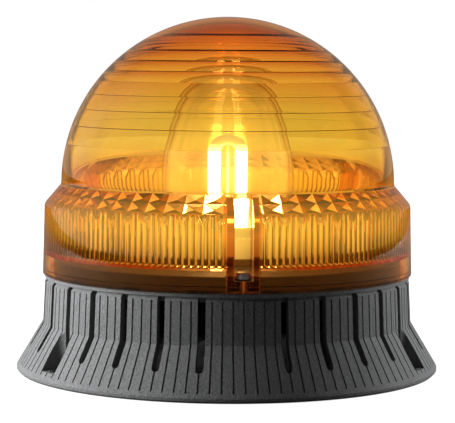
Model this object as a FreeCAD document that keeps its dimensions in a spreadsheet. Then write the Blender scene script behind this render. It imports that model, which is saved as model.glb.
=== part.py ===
import FreeCAD, Part
import math
import os
from types import SimpleNamespace

import Sketcher
from FreeCAD import Placement, Rotation, Vector

# A wall or ceiling sounder beacon: a fluted grey base with a siren driver inside, and an amber
# flash lens that lifts off once three captive screws are undone.
# Millimetres, +Z up, origin at the centre of the mounting face, front lens screw towards -Y.

SIZES = (
    # Fluted base housing
    ("flare_width", 10.6, "how far the flange stands out past the band"),
    ("flange_edge", 1.8, "height where the flange edge meets the flare"),
    ("flange_round", 0.8, "bevel under the flange edge"),
    ("band_draft", 0.8, "taper of the upright band"),
    ("kink_height", 19.6, "height where the flare meets the upright band"),
    ("band_radius", 73.6, "radius at the top of the upright band"),
    ("band_height", 36.6, "height of the top of the upright band"),
    ("band_bevel", 0.8, "bevel round the top of the band"),
    ("neck_depth", 0.8, "depth of the shadow gap above the band"),
    ("neck_height", 0.7, "height of the shadow gap above the band"),
    ("rim_height", 1.2, "height of the smooth rim under the lens"),
    ("rim_lip", 0.7, "thickness of the lip round the gasket"),
    ("shell_wall", 3.0, "wall of the upright band"),
    ("roof_thickness", 2.9, "ring that carries gasket and chassis"),
    ("foot_width", 4.0, "width of the ring that stands on the wall"),
    ("ledge_width", 1.6, "ledge that the rear cover sits on"),
    ("ledge_height", 3.2, "height of that ledge"),
    ("slot_width", 3.0, "width of a sound slot"),
    ("slot_foot", 10.0, "height of the round lower end of a slot"),
    ("groove_width", 0.65, "width of a flute groove"),
    ("groove_depth", 0.7, "depth of a flute groove"),
    ("groove_foot", 3.4, "height of the lower end of a groove"),
    ("groove_stop", 0.9, "plain strip above the grooves"),
    ("recess_width", 10.0, "width of a mounting recess"),
    ("recess_floor", 4.8, "height of the floor of a recess"),
    ("pad_wall", 2.5, "wall round a recess"),
    ("mount_inset", 6.0, "flange edge to the middle of a mounting hole"),
    ("mount_hole", 2.6, "radius of a mounting hole"),
    # Clearances
    ("part_gap", 0.4, "clearance between mouldings"),
    ("screw_gap", 0.1, "clearance round a screw or pin"),
    ("lens_gap", 0.3, "gap between rim and lens"),
    # Amber lens
    ("gasket_thickness", 0.9, "lens gasket"),
    ("gasket_width", 2.0, "width of the gasket ring"),
    ("lens_overhang", 0.9, "how far the foot of the lens stands out past the band"),
    ("lens_wall", 2.6, "wall of the lens"),
    ("foot_lip", 1.3, "inward lip at the foot of the lens"),
    ("foot_thickness", 2.0, "height of that lip"),
    ("plain_foot", 9.0, "plain strip of the lens below the ribs"),
    ("rib_rise", 0.8, "how far the ribbed wall stands in"),
    ("rib_radius", 0.95, "half-round rib on the wall of the lens"),
    ("rib_stop", 0.6, "plain strip of the lens above the ribs"),
    ("lens_draft", 0.8, "taper of the upright lens wall"),
    ("lens_wall_height", 28.2, "height of the upright lens wall"),
    ("shoulder_inset", 1.0, "how much lower the shoulder is inside"),
    ("facet_depth", 0.8, "height of a faceted gem inside the shoulder"),
    ("facet_root", 0.3, "how far the foot of a gem lies in the wall"),
    ("shoulder_width", 6.6, "width of the shoulder"),
    ("shoulder_rise", 7.6, "height of the shoulder"),
    ("ring_step", 0.7, "ledge at each inner ring of the dome"),
    ("channel_width", 7.0, "clear width of a screw channel"),
    ("channel_wall", 2.4, "side wall of a screw channel"),
    ("channel_floor", 4.5, "floor of a screw channel"),
    ("screw_inset", 4.0, "edge of the lens foot to the middle of a lens screw"),
    ("lens_screw_radius", 1.45, "shank of a lens screw"),
    ("lens_screw_depth", 6.4, "how far a lens screw enters the base"),
    ("lens_head_radius", 2.9, "head of a lens screw"),
    ("lens_head_height", 2.6, "height of that head"),
    ("washer_radius", 3.1, "sealing washer under the head"),
    ("washer_thickness", 0.5, "thickness of that washer"),
    ("insert_radius", 2.2, "brass insert in the base"),
    ("insert_length", 6.0, "length of that insert"),
    ("boss_wall", 0.9, "wall of the base round an insert"),
    ("boss_length", 9.0, "boss of a lens screw below the roof"),
    # Chassis tub
    ("collar_height", 6.4, "collar above the gasket seat"),
    ("collar_wall", 2.0, "wall of the collar"),
    ("tub_inset", 8.1, "space between the band's wall and the tub"),
    ("tub_wall", 2.0, "wall of the tub"),
    ("driver_headroom", 1.5, "space between the driver and the lamp deck"),
    ("floor_thickness", 2.5, "floor of the tub"),
    ("chassis_flange", 2.2, "flange that lies on the base"),
    ("deck_thickness", 1.5, "lamp deck"),
    ("small_screw", 1.2, "shank radius of the inner screws"),
    ("small_head", 2.3, "head radius of the inner screws"),
    ("small_head_height", 1.6, "head height of the inner screws"),
    ("small_screw_depth", 5.0, "how far an inner screw enters its boss"),
    ("chassis_screw_offset", 2.85, "chassis screws outside the tub"),
    ("chassis_boss", 2.4, "radius of a chassis screw boss"),
    ("chassis_boss_length", 5.0, "length of a chassis screw boss"),
    ("deck_screw_inset", 4.5, "deck screws inside the tub's outer face"),
    ("deck_pillar", 2.8, "radius of a deck pillar"),
    # Rear cover
    ("cover_thickness", 2.5, "rear cover"),
    ("cover_gap", 0.3, "clearance round the rear cover"),
    ("cover_screw_inset", 2.6, "rear screws inside the band's wall"),
    ("cover_pillar", 2.8, "radius of a rear cover pillar"),
    ("cover_screw_depth", 9.0, "how far a rear screw enters its pillar"),
    ("cover_skin", 0.9, "cover left under a rear screw head"),
    ("deflector_radius", 22.0, "foot of the sound deflector"),
    ("deflector_tip", 3.0, "tip of the sound deflector"),
    ("deflector_height", 10.5, "height of the sound deflector"),
    ("cable_inset", 9.5, "board edge to the middle of the cable entry"),
    ("cable_hole", 7.0, "hole for a cable grommet"),
    ("cable_bore", 3.5, "bore of a cable grommet"),
    ("grommet_flange", 8.4, "flange of a cable grommet"),
    ("grommet_lip", 0.6, "lower lip of a cable grommet"),
    ("grommet_crown", 1.2, "upper lip of a cable grommet"),
    # Siren driver
    ("driver_opening", 29.0, "radius of the sound opening"),
    ("driver_flange_width", 7.0, "flange of the driver frame round the opening"),
    ("driver_seal", 0.8, "gasket under the driver frame"),
    ("frame_thickness", 2.0, "flange of the driver frame"),
    ("frame_wall", 1.5, "wall of the driver basket"),
    ("frame_rise", 6.2, "height of the driver basket"),
    ("basket_taper", 4.5, "how much the driver basket narrows"),
    ("driver_screw_offset", 3.5, "driver screws outside the opening"),
    ("plate_inset", 2.5, "top plate inside the top of the basket"),
    ("plate_thickness", 2.5, "steel top plate"),
    ("magnet_step", 0.5, "how far the magnet stands out past its plate"),
    ("magnet_hole_step", 1.7, "magnet hole outside the hole of the plate"),
    ("magnet_height", 4.0, "ferrite magnet"),
    ("yoke_inset", 2.0, "yoke disc inside the magnet"),
    ("yoke_thickness", 1.8, "yoke disc"),
    ("pole_gap", 0.7, "air gap inside the voice coil"),
    ("coil_radius", 8.5, "inner radius of the voice coil"),
    ("coil_wall", 0.6, "wall of the voice coil"),
    ("coil_gap", 0.7, "air gap outside the voice coil"),
    ("coil_height", 7.0, "voice coil"),
    ("cone_thickness", 0.6, "diaphragm"),
    ("cone_rise", 2.6, "height of the diaphragm's cone"),
    # Circuit board and what stands on it
    ("board_inset", 6.0, "space between the tub's wall and the board"),
    ("board_hole_gap", 2.0, "space between the driver basket and the board"),
    ("board_thickness", 1.6, "circuit board"),
    ("board_height", 6.0, "standoff under the board"),
    ("standoff_radius", 3.0, "standoff under the board"),
    ("standoff_inset", 4.5, "board edge to the middle of a standoff"),
    ("pin_radius", 0.7, "contact pins"),
    ("driver_pin_offset", 4.5, "driver pins outside the opening"),
    ("lamp_pin_inset", 1.5, "lamp contacts outside the hole of the board"),
    ("terminal_pitch", 5.0, "pitch of the terminals"),
    ("terminal_depth", 9.0, "depth of the terminal block"),
    ("terminal_height", 9.6, "height of the terminal block"),
    ("terminal_gap", 0.5, "space between terminal block and cable entry"),
    ("terminal_well", 1.7, "radius of a terminal's screw well"),
    ("terminal_well_depth", 3.0, "depth of a terminal's screw well"),
    ("wire_entry", 2.6, "side of a terminal's wire entry"),
    ("switch_inset", 12.5, "board edge to the middle of the larger blocks"),
    ("switch_depth", 9.0, "tone switch body across its sliders"),
    ("switch_pitch", 2.54, "pitch of the tone sliders"),
    ("switch_height", 4.5, "height of the tone switch body"),
    ("slider_length", 1.6, "tone slider along its travel"),
    ("slider_width", 1.2, "tone slider across its travel"),
    ("slider_height", 2.0, "tone slider"),
    ("slider_travel", 1.6, "travel of a tone slider"),
    ("slider_gap", 0.15, "clearance round a tone slider"),
    ("slider_proud", 0.8, "how far a slider stands proud"),
    ("trimmer_side", 9.5, "side of the volume trimmer"),
    ("trimmer_height", 4.5, "height of the volume trimmer"),
    ("rotor_radius", 3.1, "rotor of the volume trimmer"),
    ("rotor_height", 3.0, "rotor of the volume trimmer"),
    ("rotor_proud", 1.2, "how far the rotor stands proud"),
    ("rotor_gap", 0.3, "clearance round the rotor"),
    ("rotor_slot", 0.9, "screwdriver slot of the rotor"),
    ("capacitor_radius", 4.8, "storage capacitor"),
    ("capacitor_length", 20.0, "storage capacitor"),
    ("capacitor_groove", 0.4, "bead groove of the capacitor"),
    ("transformer_length", 13.0, "trigger transformer"),
    ("transformer_width", 10.0, "trigger transformer"),
    ("transformer_height", 9.0, "trigger transformer"),
    ("flange_plate", 1.6, "end plate of the transformer bobbin"),
    ("winding_inset", 1.2, "how far the winding lies inside the end plates"),
    # Lamp
    ("socket_foot_width", 3.0, "foot of the tube socket outside the lamp cover"),
    ("socket_foot_height", 2.0, "foot of the tube socket"),
    ("cover_fit", 0.3, "clearance inside the lamp cover"),
    ("turret_height", 8.0, "turret of the tube socket"),
    ("leg_depth", 7.4, "how far the tube legs stand in the turret"),
    ("reflector_gap", 0.9, "space between reflector and lamp cover"),
    ("reflector_hole_gap", 1.5, "space between tube and reflector dish"),
    ("reflector_flat_width", 2.5, "flat middle of the reflector dish"),
    ("reflector_rise", 2.7, "height of the reflector dish"),
    ("reflector_wall", 1.0, "wall of the reflector dish"),
    ("tube_radius", 2.5, "outer radius of the flash tube"),
    ("tube_wall", 0.8, "glass of the flash tube"),
    ("tube_spread", 5.5, "half the distance between the tube legs"),
    ("tube_leg", 39.1, "straight leg of the flash tube"),
    ("tube_end", 2.0, "sealed end of the flash tube"),
    ("electrode_radius", 0.9, "tube electrode"),
    ("electrode_length", 14.0, "tube electrode"),
    ("wire_radius", 0.4, "trigger wire"),
    ("glass_radius", 27.0, "foot of the inner lamp cover"),
    ("glass_wall", 1.5, "wall of the inner lamp cover"),
    ("glass_straight", 23.6, "upright foot of the inner lamp cover"),
    ("glass_sweep", 95.0, "radius of its curved side"),
    ("glass_crown", 22.0, "radius of its crown"),
)

# Directions round the axis in degrees from +X: lens screws, mounting recesses, rear screws.
CHANNELS = (270, 30, 150)
PADS = (90, 210, 330)
PILLARS = (300, 60, 180)

# First sound slot of each third, driver pins and the two larger blocks on the board.
SLOT_STARTS = (12, 132, 252)
DRIVER_PINS = (25, 45)
CAPACITOR_ANGLE = 225
TRANSFORMER_ANGLE = 315

# Counts and angles of the moulded patterns.
GROOVE_COUNT = 120
SLOT_PITCH = 12
SLOTS_IN_A_THIRD = 9
RIB_COUNT = 180
FACET_COUNT = 60
FACET_ROWS = (0.25, 0.75)
RING_ELEVATIONS = (14.0, 20.7, 26.9, 32.8, 38.3, 43.3, 48.3, 53.9, 64.0)
TERMINAL_COUNT = 6
SLIDER_COUNT = 5

# How much of its pitch a gem fills, and how far the first rib stands from +X in degrees.
FACET_FILL = 0.94
RIB_START = 1

# How far a cutting tool runs past the face that it leaves.
OVERRUN = 5.0


class Size:
    """A number together with the sheet expression that drives it."""

    def __init__(self, number, text):
        self.number = number
        self.text = text

    def __add__(self, other):
        other = sized(other)
        return Size(self.number + other.number, f"({self.text} + {other.text})")

    def __sub__(self, other):
        other = sized(other)
        return Size(self.number - other.number, f"({self.text} - {other.text})")

    def __mul__(self, other):
        other = sized(other)
        return Size(self.number * other.number, f"({self.text} * {other.text})")

    def __truediv__(self, other):
        other = sized(other)
        return Size(self.number / other.number, f"({self.text} / {other.text})")

    def __radd__(self, other):
        return sized(other) + self

    def __rsub__(self, other):
        return sized(other) - self

    def __rmul__(self, other):
        return sized(other) * self


def sized(item):
    """Give a plain number the form of a size."""
    if isinstance(item, Size):
        return item
    return Size(float(item), f"{float(item):.9g}" if item >= 0 else f"(0 - {-float(item):.9g})")


def root(size):
    """The square root of a size."""
    return Size(math.sqrt(size.number), f"sqrt({size.text})")


def polar(radius, angle):
    """The x and y of a point at a radius and an angle from +X."""
    turn = math.radians(angle)
    return radius * round(math.cos(turn), 12), radius * round(math.sin(turn), 12)


doc = FreeCAD.newDocument("SounderBeacon")
sheet = doc.addObject("Spreadsheet::Sheet", "Sizes")
for row, (alias, number, meaning) in enumerate(SIZES, start=1):
    sheet.set(f"A{row}", meaning)
    sheet.set(f"B{row}", str(number))
    sheet.setAlias(f"B{row}", alias)
doc.recompute()
size = SimpleNamespace(**{alias: Size(float(sheet.get(alias)), f"Sizes.{alias}") for alias, *_ in SIZES})

# Radii and heights that several pieces share, from the outside inwards.
KINK_RADIUS = size.band_radius + size.band_draft
FLANGE_RADIUS = KINK_RADIUS + size.flare_width
MOUNT_CIRCLE = FLANGE_RADIUS - size.mount_inset
REBATE_RADIUS = FLANGE_RADIUS - size.foot_width
PAD_RADIUS = size.recess_width / 2 + size.pad_wall
BAND_INNER = size.band_radius - size.shell_wall
COVER_SCREW_CIRCLE = BAND_INNER - size.cover_screw_inset
COVER_UNDER = size.ledge_height - size.cover_thickness
RIM_TOP = size.band_height + size.neck_height + size.rim_height
SEAT_RADIUS = size.band_radius - size.rim_lip
SMALL_HOLE = size.small_screw + size.screw_gap

# Lens
LENS_FOOT = RIM_TOP + size.lens_gap
SEAT = LENS_FOOT - size.gasket_thickness
ROOF_UNDER = SEAT - size.roof_thickness
LENS_RADIUS = size.band_radius + size.lens_overhang
LENS_FOOT_INNER = LENS_RADIUS - size.lens_wall - size.foot_lip
RIB_FOOT = LENS_FOOT + size.plain_foot
SHOULDER_RADIUS = LENS_RADIUS - size.lens_draft
SHOULDER_HEIGHT = LENS_FOOT + size.lens_wall_height
DOME_RADIUS = SHOULDER_RADIUS - size.shoulder_width
DOME_BASE = SHOULDER_HEIGHT + size.shoulder_rise
SCREW_CIRCLE = LENS_RADIUS - size.screw_inset
CHANNEL_OUTER = size.channel_width + size.channel_wall * 2
CHANNEL_FLOOR = LENS_FOOT + size.channel_floor
CHANNEL_BACK = DOME_RADIUS - size.channel_wall
NOTCH_WIDTH = CHANNEL_OUTER + size.part_gap * 2
NOTCH_BACK = CHANNEL_BACK - size.part_gap

# Chassis, with the driver hung under the lamp deck
COLLAR_RADIUS = LENS_FOOT_INNER - size.part_gap
COLLAR_TOP = SEAT + size.collar_height
DECK_SEAT = COLLAR_TOP - size.deck_thickness
TUB_RADIUS = BAND_INNER - size.tub_inset
CHASSIS_SCREW_CIRCLE = TUB_RADIUS + size.chassis_screw_offset
DECK_SCREW_CIRCLE = TUB_RADIUS - size.deck_screw_inset
MAGNET_TOP = DECK_SEAT - size.driver_headroom - size.yoke_thickness
PLATE_TOP = MAGNET_TOP - size.magnet_height
FRAME_TOP = PLATE_TOP - size.plate_thickness
FRAME_SEAT = FRAME_TOP - size.frame_wall - size.frame_rise
FLOOR_TOP = FRAME_SEAT - size.driver_seal
TUB_FLOOR = FLOOR_TOP - size.floor_thickness

# Siren driver
DRIVER_FLANGE = size.driver_opening + size.driver_flange_width
DRIVER_SCREW_CIRCLE = size.driver_opening + size.driver_screw_offset
DRIVER_PIN_CIRCLE = size.driver_opening + size.driver_pin_offset
BASKET_RADIUS = size.driver_opening - size.basket_taper
PLATE_RADIUS = BASKET_RADIUS - size.plate_inset
PLATE_HOLE = size.coil_radius + size.coil_wall + size.coil_gap
MAGNET_RADIUS = PLATE_RADIUS + size.magnet_step
MAGNET_HOLE = PLATE_HOLE + size.magnet_hole_step
YOKE_RADIUS = MAGNET_RADIUS - size.yoke_inset
POLE_RADIUS = size.coil_radius - size.pole_gap

# Circuit board
BOARD_RADIUS = TUB_RADIUS - size.tub_wall - size.board_inset
BOARD_HOLE = BASKET_RADIUS + size.board_hole_gap
BOARD_SEAT = FLOOR_TOP + size.board_height
BOARD_TOP = BOARD_SEAT + size.board_thickness
STANDOFF_CIRCLE = BOARD_RADIUS - size.standoff_inset
LAMP_PIN_CIRCLE = BOARD_HOLE + size.lamp_pin_inset
CABLE_OFFSET = BOARD_RADIUS - size.cable_inset
TERMINAL_OFFSET = CABLE_OFFSET - size.cable_hole - size.terminal_gap - size.terminal_depth / 2
SWITCH_OFFSET = BOARD_RADIUS - size.switch_inset
SWITCH_TOP = BOARD_TOP + size.switch_height
TRIMMER_TOP = BOARD_TOP + size.trimmer_height

# Lamp
SOCKET_FOOT = size.glass_radius + size.socket_foot_width
SOCKET_STEP = COLLAR_TOP + size.socket_foot_height
TURRET_RADIUS = size.glass_radius - size.glass_wall - size.cover_fit
TURRET_TOP = SOCKET_STEP + size.turret_height
LEG_FOOT = TURRET_TOP - size.leg_depth
REFLECTOR_RADIUS = size.glass_radius - size.glass_wall - size.reflector_gap
REFLECTOR_HOLE = size.tube_spread + size.tube_radius + size.reflector_hole_gap
REFLECTOR_FLAT = REFLECTOR_HOLE + size.reflector_flat_width

parts = {}


def bind(item, path, value):
    """Tie one property of an object to the sheet."""
    item.setExpression(path, sized(value).text)


def place(item, x, y, z):
    """Tie the position of an object to the sheet."""
    for axis, value in zip("xyz", (x, y, z)):
        bind(item, f"Placement.Base.{axis}", value)
    return item


def keep(label, item):
    """Take an object as a finished piece under the name of its file."""
    item.Label = label
    parts[label] = item
    return item


def cylinder(name, radius, bottom, top, x=0, y=0):
    """An upright cylinder between two heights."""
    item = doc.addObject("Part::Cylinder", name)
    bind(item, "Radius", radius)
    bind(item, "Height", top - bottom)
    return place(item, x, y, bottom)


def box(name, length, width, bottom, top, x=0, y=0):
    """An upright box, centred on x and y, between two heights."""
    item = doc.addObject("Part::Box", name)
    bind(item, "Length", length)
    bind(item, "Width", width)
    bind(item, "Height", top - bottom)
    return place(item, x - length / 2, y - width / 2, bottom)


def radial_box(name, angle, inner, outer, width, bottom, top):
    """A box that reaches outwards from one radius to another at an angle from +X."""
    item = doc.addObject("Part::Box", name)
    bind(item, "Length", outer - inner)
    bind(item, "Width", width)
    bind(item, "Height", top - bottom)
    item.Placement = Placement(Vector(), Rotation(Vector(0, 0, 1), angle))
    along_x, along_y = polar(inner, angle)
    side_x, side_y = polar(width / 2, angle - 90)
    return place(item, along_x + side_x, along_y + side_y, bottom)


def ring_of_cylinders(name, angles, circle, radius, bottom, top):
    """Upright cylinders of one size round a circle."""
    return [
        cylinder(f"{name}_{index}", radius, bottom, top, *polar(circle, angle))
        for index, angle in enumerate(angles, start=1)
    ]


def ring_of_boxes(name, angles, inner, outer, width, bottom, top):
    """Radial boxes of one size round the axis."""
    return [
        radial_box(f"{name}_{index}", angle, inner, outer, width, bottom, top)
        for index, angle in enumerate(angles, start=1)
    ]


def fused(name, items):
    """Several objects as one."""
    item = doc.addObject("Part::MultiFuse", name)
    item.Shapes = list(items)
    return item


def cut(name, base, tools):
    """One object with others taken out of it."""
    item = doc.addObject("Part::Cut", name)
    item.Base = base
    item.Tool = tools[0] if len(tools) == 1 else fused(f"{name}_tools", tools)
    return item


def grouped(name, items):
    """Like pieces that share one name but stay separate solids."""
    item = doc.addObject("Part::Compound", name)
    item.Links = list(items)
    return item


def origin_plane(body, role):
    """One of the origin planes or axes of a body."""
    return next(item for item in body.Origin.OriginFeatures if item.Role == role)


def new_sketch(body, name, plane):
    """An empty sketch on one of the body's own planes."""
    sketch = body.newObject("Sketcher::SketchObject", name)
    sketch.AttachmentSupport = [(origin_plane(body, plane), "")]
    sketch.MapMode = "FlatFace"
    return sketch


def pin_point(sketch, edge, end, across, up, name):
    """Tie one end of an edge to its two distances from the sketch's origin."""
    for kind, axis, value in (("DistanceX", -2, sized(across)), ("DistanceY", -1, sized(up))):
        if value.number == 0:
            sketch.addConstraint(Sketcher.Constraint("PointOnObject", edge, end, axis))
            continue
        if value.number > 0:
            measure = Sketcher.Constraint(kind, -1, 1, edge, end, value.number)
        else:
            value = 0 - value
            measure = Sketcher.Constraint(kind, edge, end, -1, 1, value.number)
        index = sketch.addConstraint(measure)
        sketch.renameConstraint(index, f"{name}_{kind}")
        sketch.setExpression(f"Constraints.{name}_{kind}", value.text)


def draw_outline(sketch, corners):
    """Draw a closed outline.

    A corner is (across, up), or (across, up, centre) where the edge to the next corner is an arc
    about that centre. Every corner is tied to the sheet, and so is one distance of each centre.
    """
    flat = [(sized(corner[0]), sized(corner[1])) for corner in corners]
    points = [Vector(across.number, up.number, 0) for across, up in flat]
    starts = []
    ends = []
    for index, corner in enumerate(corners):
        start, end = points[index], points[(index + 1) % len(points)]
        if len(corner) == 2:
            edge = sketch.addGeometry(Part.LineSegment(start, end))
            starts.append((edge, 1))
            ends.append((edge, 2))
            continue
        centre = Vector(sized(corner[2][0]).number, sized(corner[2][1]).number, 0)
        first, last = start - centre, end - centre
        forward = first.cross(last).z > 0
        if not forward:
            first, last = last, first
        circle = Part.Circle(centre, Vector(0, 0, 1), first.Length)
        arc = Part.ArcOfCircle(circle, math.atan2(first.y, first.x), math.atan2(last.y, last.x))
        edge = sketch.addGeometry(arc)
        starts.append((edge, 1 if forward else 2))
        ends.append((edge, 2 if forward else 1))
    for index, (edge, end) in enumerate(ends):
        following, start = starts[(index + 1) % len(starts)]
        sketch.addConstraint(Sketcher.Constraint("Coincident", edge, end, following, start))
    for index, (edge, start) in enumerate(starts):
        pin_point(sketch, edge, start, *flat[index], f"corner{index}")
    for index, corner in enumerate(corners):
        if len(corner) == 3:
            edge = starts[index][0]
            centre_up = sized(corner[2][1])
            on_axis = sized(corner[2][0]).number == 0
            if on_axis:
                sketch.addConstraint(Sketcher.Constraint("PointOnObject", edge, 3, -2))
            else:
                measure = Sketcher.Constraint("DistanceY", -1, 1, edge, 3, centre_up.number)
                row = sketch.addConstraint(measure)
                sketch.renameConstraint(row, f"centre{index}")
                sketch.setExpression(f"Constraints.centre{index}", centre_up.text)


def turned(name, corners):
    """A body turned about the upright axis from an outline of radius and height."""
    body = doc.addObject("PartDesign::Body", name)
    sketch = new_sketch(body, f"{name}_outline", "XZ_Plane")
    draw_outline(sketch, corners)
    turn = body.newObject("PartDesign::Revolution", f"{name}_turn")
    turn.Profile = sketch
    turn.ReferenceAxis = (sketch, ["V_Axis"])
    turn.Angle = 360
    body.Tip = turn
    return body


def patterned(body, feature, angle, count):
    """Repeat a feature of a body round the upright axis."""
    pattern = body.newObject("PartDesign::PolarPattern", f"{feature.Name}_pattern")
    pattern.Originals = [feature]
    pattern.Axis = (origin_plane(body, "Z_Axis"), [""])
    pattern.Angle = angle
    pattern.Occurrences = count
    pattern.Refine = False
    body.Tip = pattern
    return pattern


def screw(name, x, y, seat, head_radius, head_height, shank_radius, depth):
    """A pan head screw that points down from its seat."""
    head = cylinder(f"{name}_head", head_radius, seat, seat + head_height, x, y)
    shank = cylinder(f"{name}_shank", shank_radius, seat - depth, seat, x, y)
    return fused(name, [head, shank])


def small_screws(label, angles, circle, seat, depth):
    """The inner screws round a circle, as one group."""
    items = [
        screw(f"{label}_{index}", *polar(circle, angle), seat, size.small_head,
              size.small_head_height, size.small_screw, depth)
        for index, angle in enumerate(angles, start=1)
    ]
    return keep(label, grouped(label, items))


def flare_radius(height):
    """Outer radius of the flare at a height."""
    slope = (FLANGE_RADIUS - KINK_RADIUS) / (size.kink_height - size.flange_edge)
    return FLANGE_RADIUS - (height - size.flange_edge) * slope


def band_radius_at(height):
    """Outer radius of the upright band at a height."""
    slope = (KINK_RADIUS - size.band_radius) / (size.band_height - size.kink_height)
    return KINK_RADIUS - (height - size.kink_height) * slope


def cut_grooves(body):
    """Narrow flute grooves that run down the band and over the flare."""
    top = size.band_height - size.groove_stop
    sketch = new_sketch(body, "groove_outline", "XZ_Plane")
    draw_outline(sketch, [
        (band_radius_at(top) - size.groove_depth, top),
        (KINK_RADIUS - size.groove_depth, size.kink_height),
        (flare_radius(size.groove_foot) - size.groove_depth, size.groove_foot),
        (FLANGE_RADIUS + OVERRUN, size.groove_foot),
        (FLANGE_RADIUS + OVERRUN, top),
    ])
    groove = body.newObject("PartDesign::Pocket", "groove")
    groove.Profile = sketch
    groove.SideType = "Symmetric"
    bind(groove, "Length", size.groove_width)
    patterned(body, groove, 360, GROOVE_COUNT)


def cut_slots(body):
    """Round-ended sound slots, left out where the lens screws stand."""
    half = size.slot_width / 2
    bend = size.slot_foot + half
    top = size.band_height + size.neck_height / 2
    back = BAND_INNER - size.screw_gap
    for third, start in enumerate(SLOT_STARTS, start=1):
        sketch = new_sketch(body, f"slot_outline_{third}", "XZ_Plane")
        turn = math.radians(start)
        sketch.AttachmentOffset = Placement(Vector(), Rotation(Vector(0, 1, 0), start))
        bind(sketch, "AttachmentOffset.Base.x", back * math.sin(turn))
        bind(sketch, "AttachmentOffset.Base.z", back * math.cos(turn))
        draw_outline(sketch, [
            (0 - half, top),
            (0 - half, bend, (0, bend)),
            (0, size.slot_foot, (0, bend)),
            (half, bend),
            (half, top),
        ])
        slot = body.newObject("PartDesign::Pocket", f"slot_{third}")
        slot.Profile = sketch
        slot.Reversed = True
        bind(slot, "Length", FLANGE_RADIUS - back + OVERRUN)
        patterned(body, slot, SLOT_PITCH * (SLOTS_IN_A_THIRD - 1), SLOTS_IN_A_THIRD)


def make_base_housing():
    """The fluted shell with slots, mounting recesses, bosses and rim."""
    outside = turned("housing_outside", [
        (0, 0),
        (FLANGE_RADIUS - size.flange_round, 0),
        (FLANGE_RADIUS, size.flange_round),
        (FLANGE_RADIUS, size.flange_edge),
        (KINK_RADIUS, size.kink_height),
        (size.band_radius, size.band_height - size.band_bevel),
        (size.band_radius - size.neck_depth, size.band_height),
        (size.band_radius - size.neck_depth, size.band_height + size.neck_height),
        (size.band_radius, size.band_height + size.neck_height),
        (size.band_radius, RIM_TOP),
        (SEAT_RADIUS, RIM_TOP),
        (SEAT_RADIUS, SEAT),
        (0, SEAT),
    ])
    inside = turned("housing_inside", [
        (0, -OVERRUN),
        (REBATE_RADIUS, -OVERRUN),
        (REBATE_RADIUS, size.ledge_height),
        (REBATE_RADIUS - size.ledge_width, size.ledge_height),
        (BAND_INNER, size.kink_height),
        (BAND_INNER, ROOF_UNDER),
        (TUB_RADIUS + size.part_gap, ROOF_UNDER),
        (TUB_RADIUS + size.part_gap, SEAT + OVERRUN),
        (0, SEAT + OVERRUN),
    ])
    roof = ROOF_UNDER + size.roof_thickness / 2
    standing = [
        *ring_of_cylinders("pad", PADS, MOUNT_CIRCLE, PAD_RADIUS, -OVERRUN, size.kink_height),
        *ring_of_cylinders("lens_boss", CHANNELS, SCREW_CIRCLE,
                           size.insert_radius + size.boss_wall, ROOF_UNDER - size.boss_length, roof),
        *ring_of_cylinders("chassis_boss", PADS, CHASSIS_SCREW_CIRCLE, size.chassis_boss,
                           ROOF_UNDER - size.chassis_boss_length, roof),
        *ring_of_cylinders("cover_pillar", PILLARS, COVER_SCREW_CIRCLE, size.cover_pillar,
                           size.ledge_height, roof),
    ]
    hollow = cut("housing_hollow", inside, standing)
    shell = cut("housing_shell", outside, [hollow])
    half = size.recess_width / 2
    high = size.band_height
    holes = [
        *ring_of_cylinders("recess_back", PADS, MOUNT_CIRCLE, half, size.recess_floor, high),
        *ring_of_boxes("recess_mouth", PADS, MOUNT_CIRCLE, FLANGE_RADIUS + OVERRUN,
                       size.recess_width, size.recess_floor, high),
        *ring_of_cylinders("mount_hole", PADS, MOUNT_CIRCLE, size.mount_hole, -OVERRUN, high),
        *ring_of_cylinders("insert_hole", CHANNELS, SCREW_CIRCLE, size.insert_radius,
                           SEAT - size.lens_screw_depth - size.screw_gap, SEAT + OVERRUN),
        *ring_of_cylinders("chassis_hole", PADS, CHASSIS_SCREW_CIRCLE, SMALL_HOLE,
                           SEAT - size.small_screw_depth - size.screw_gap, SEAT + OVERRUN),
        *ring_of_cylinders("cover_hole", PILLARS, COVER_SCREW_CIRCLE, SMALL_HOLE,
                           -OVERRUN, size.ledge_height + size.cover_screw_depth + size.screw_gap),
    ]
    housing = doc.addObject("PartDesign::Body", "base_housing")
    housing.BaseFeature = cut("housing_drilled", shell, holes)
    cut_grooves(housing)
    cut_slots(housing)
    keep("base_housing", housing)


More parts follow.
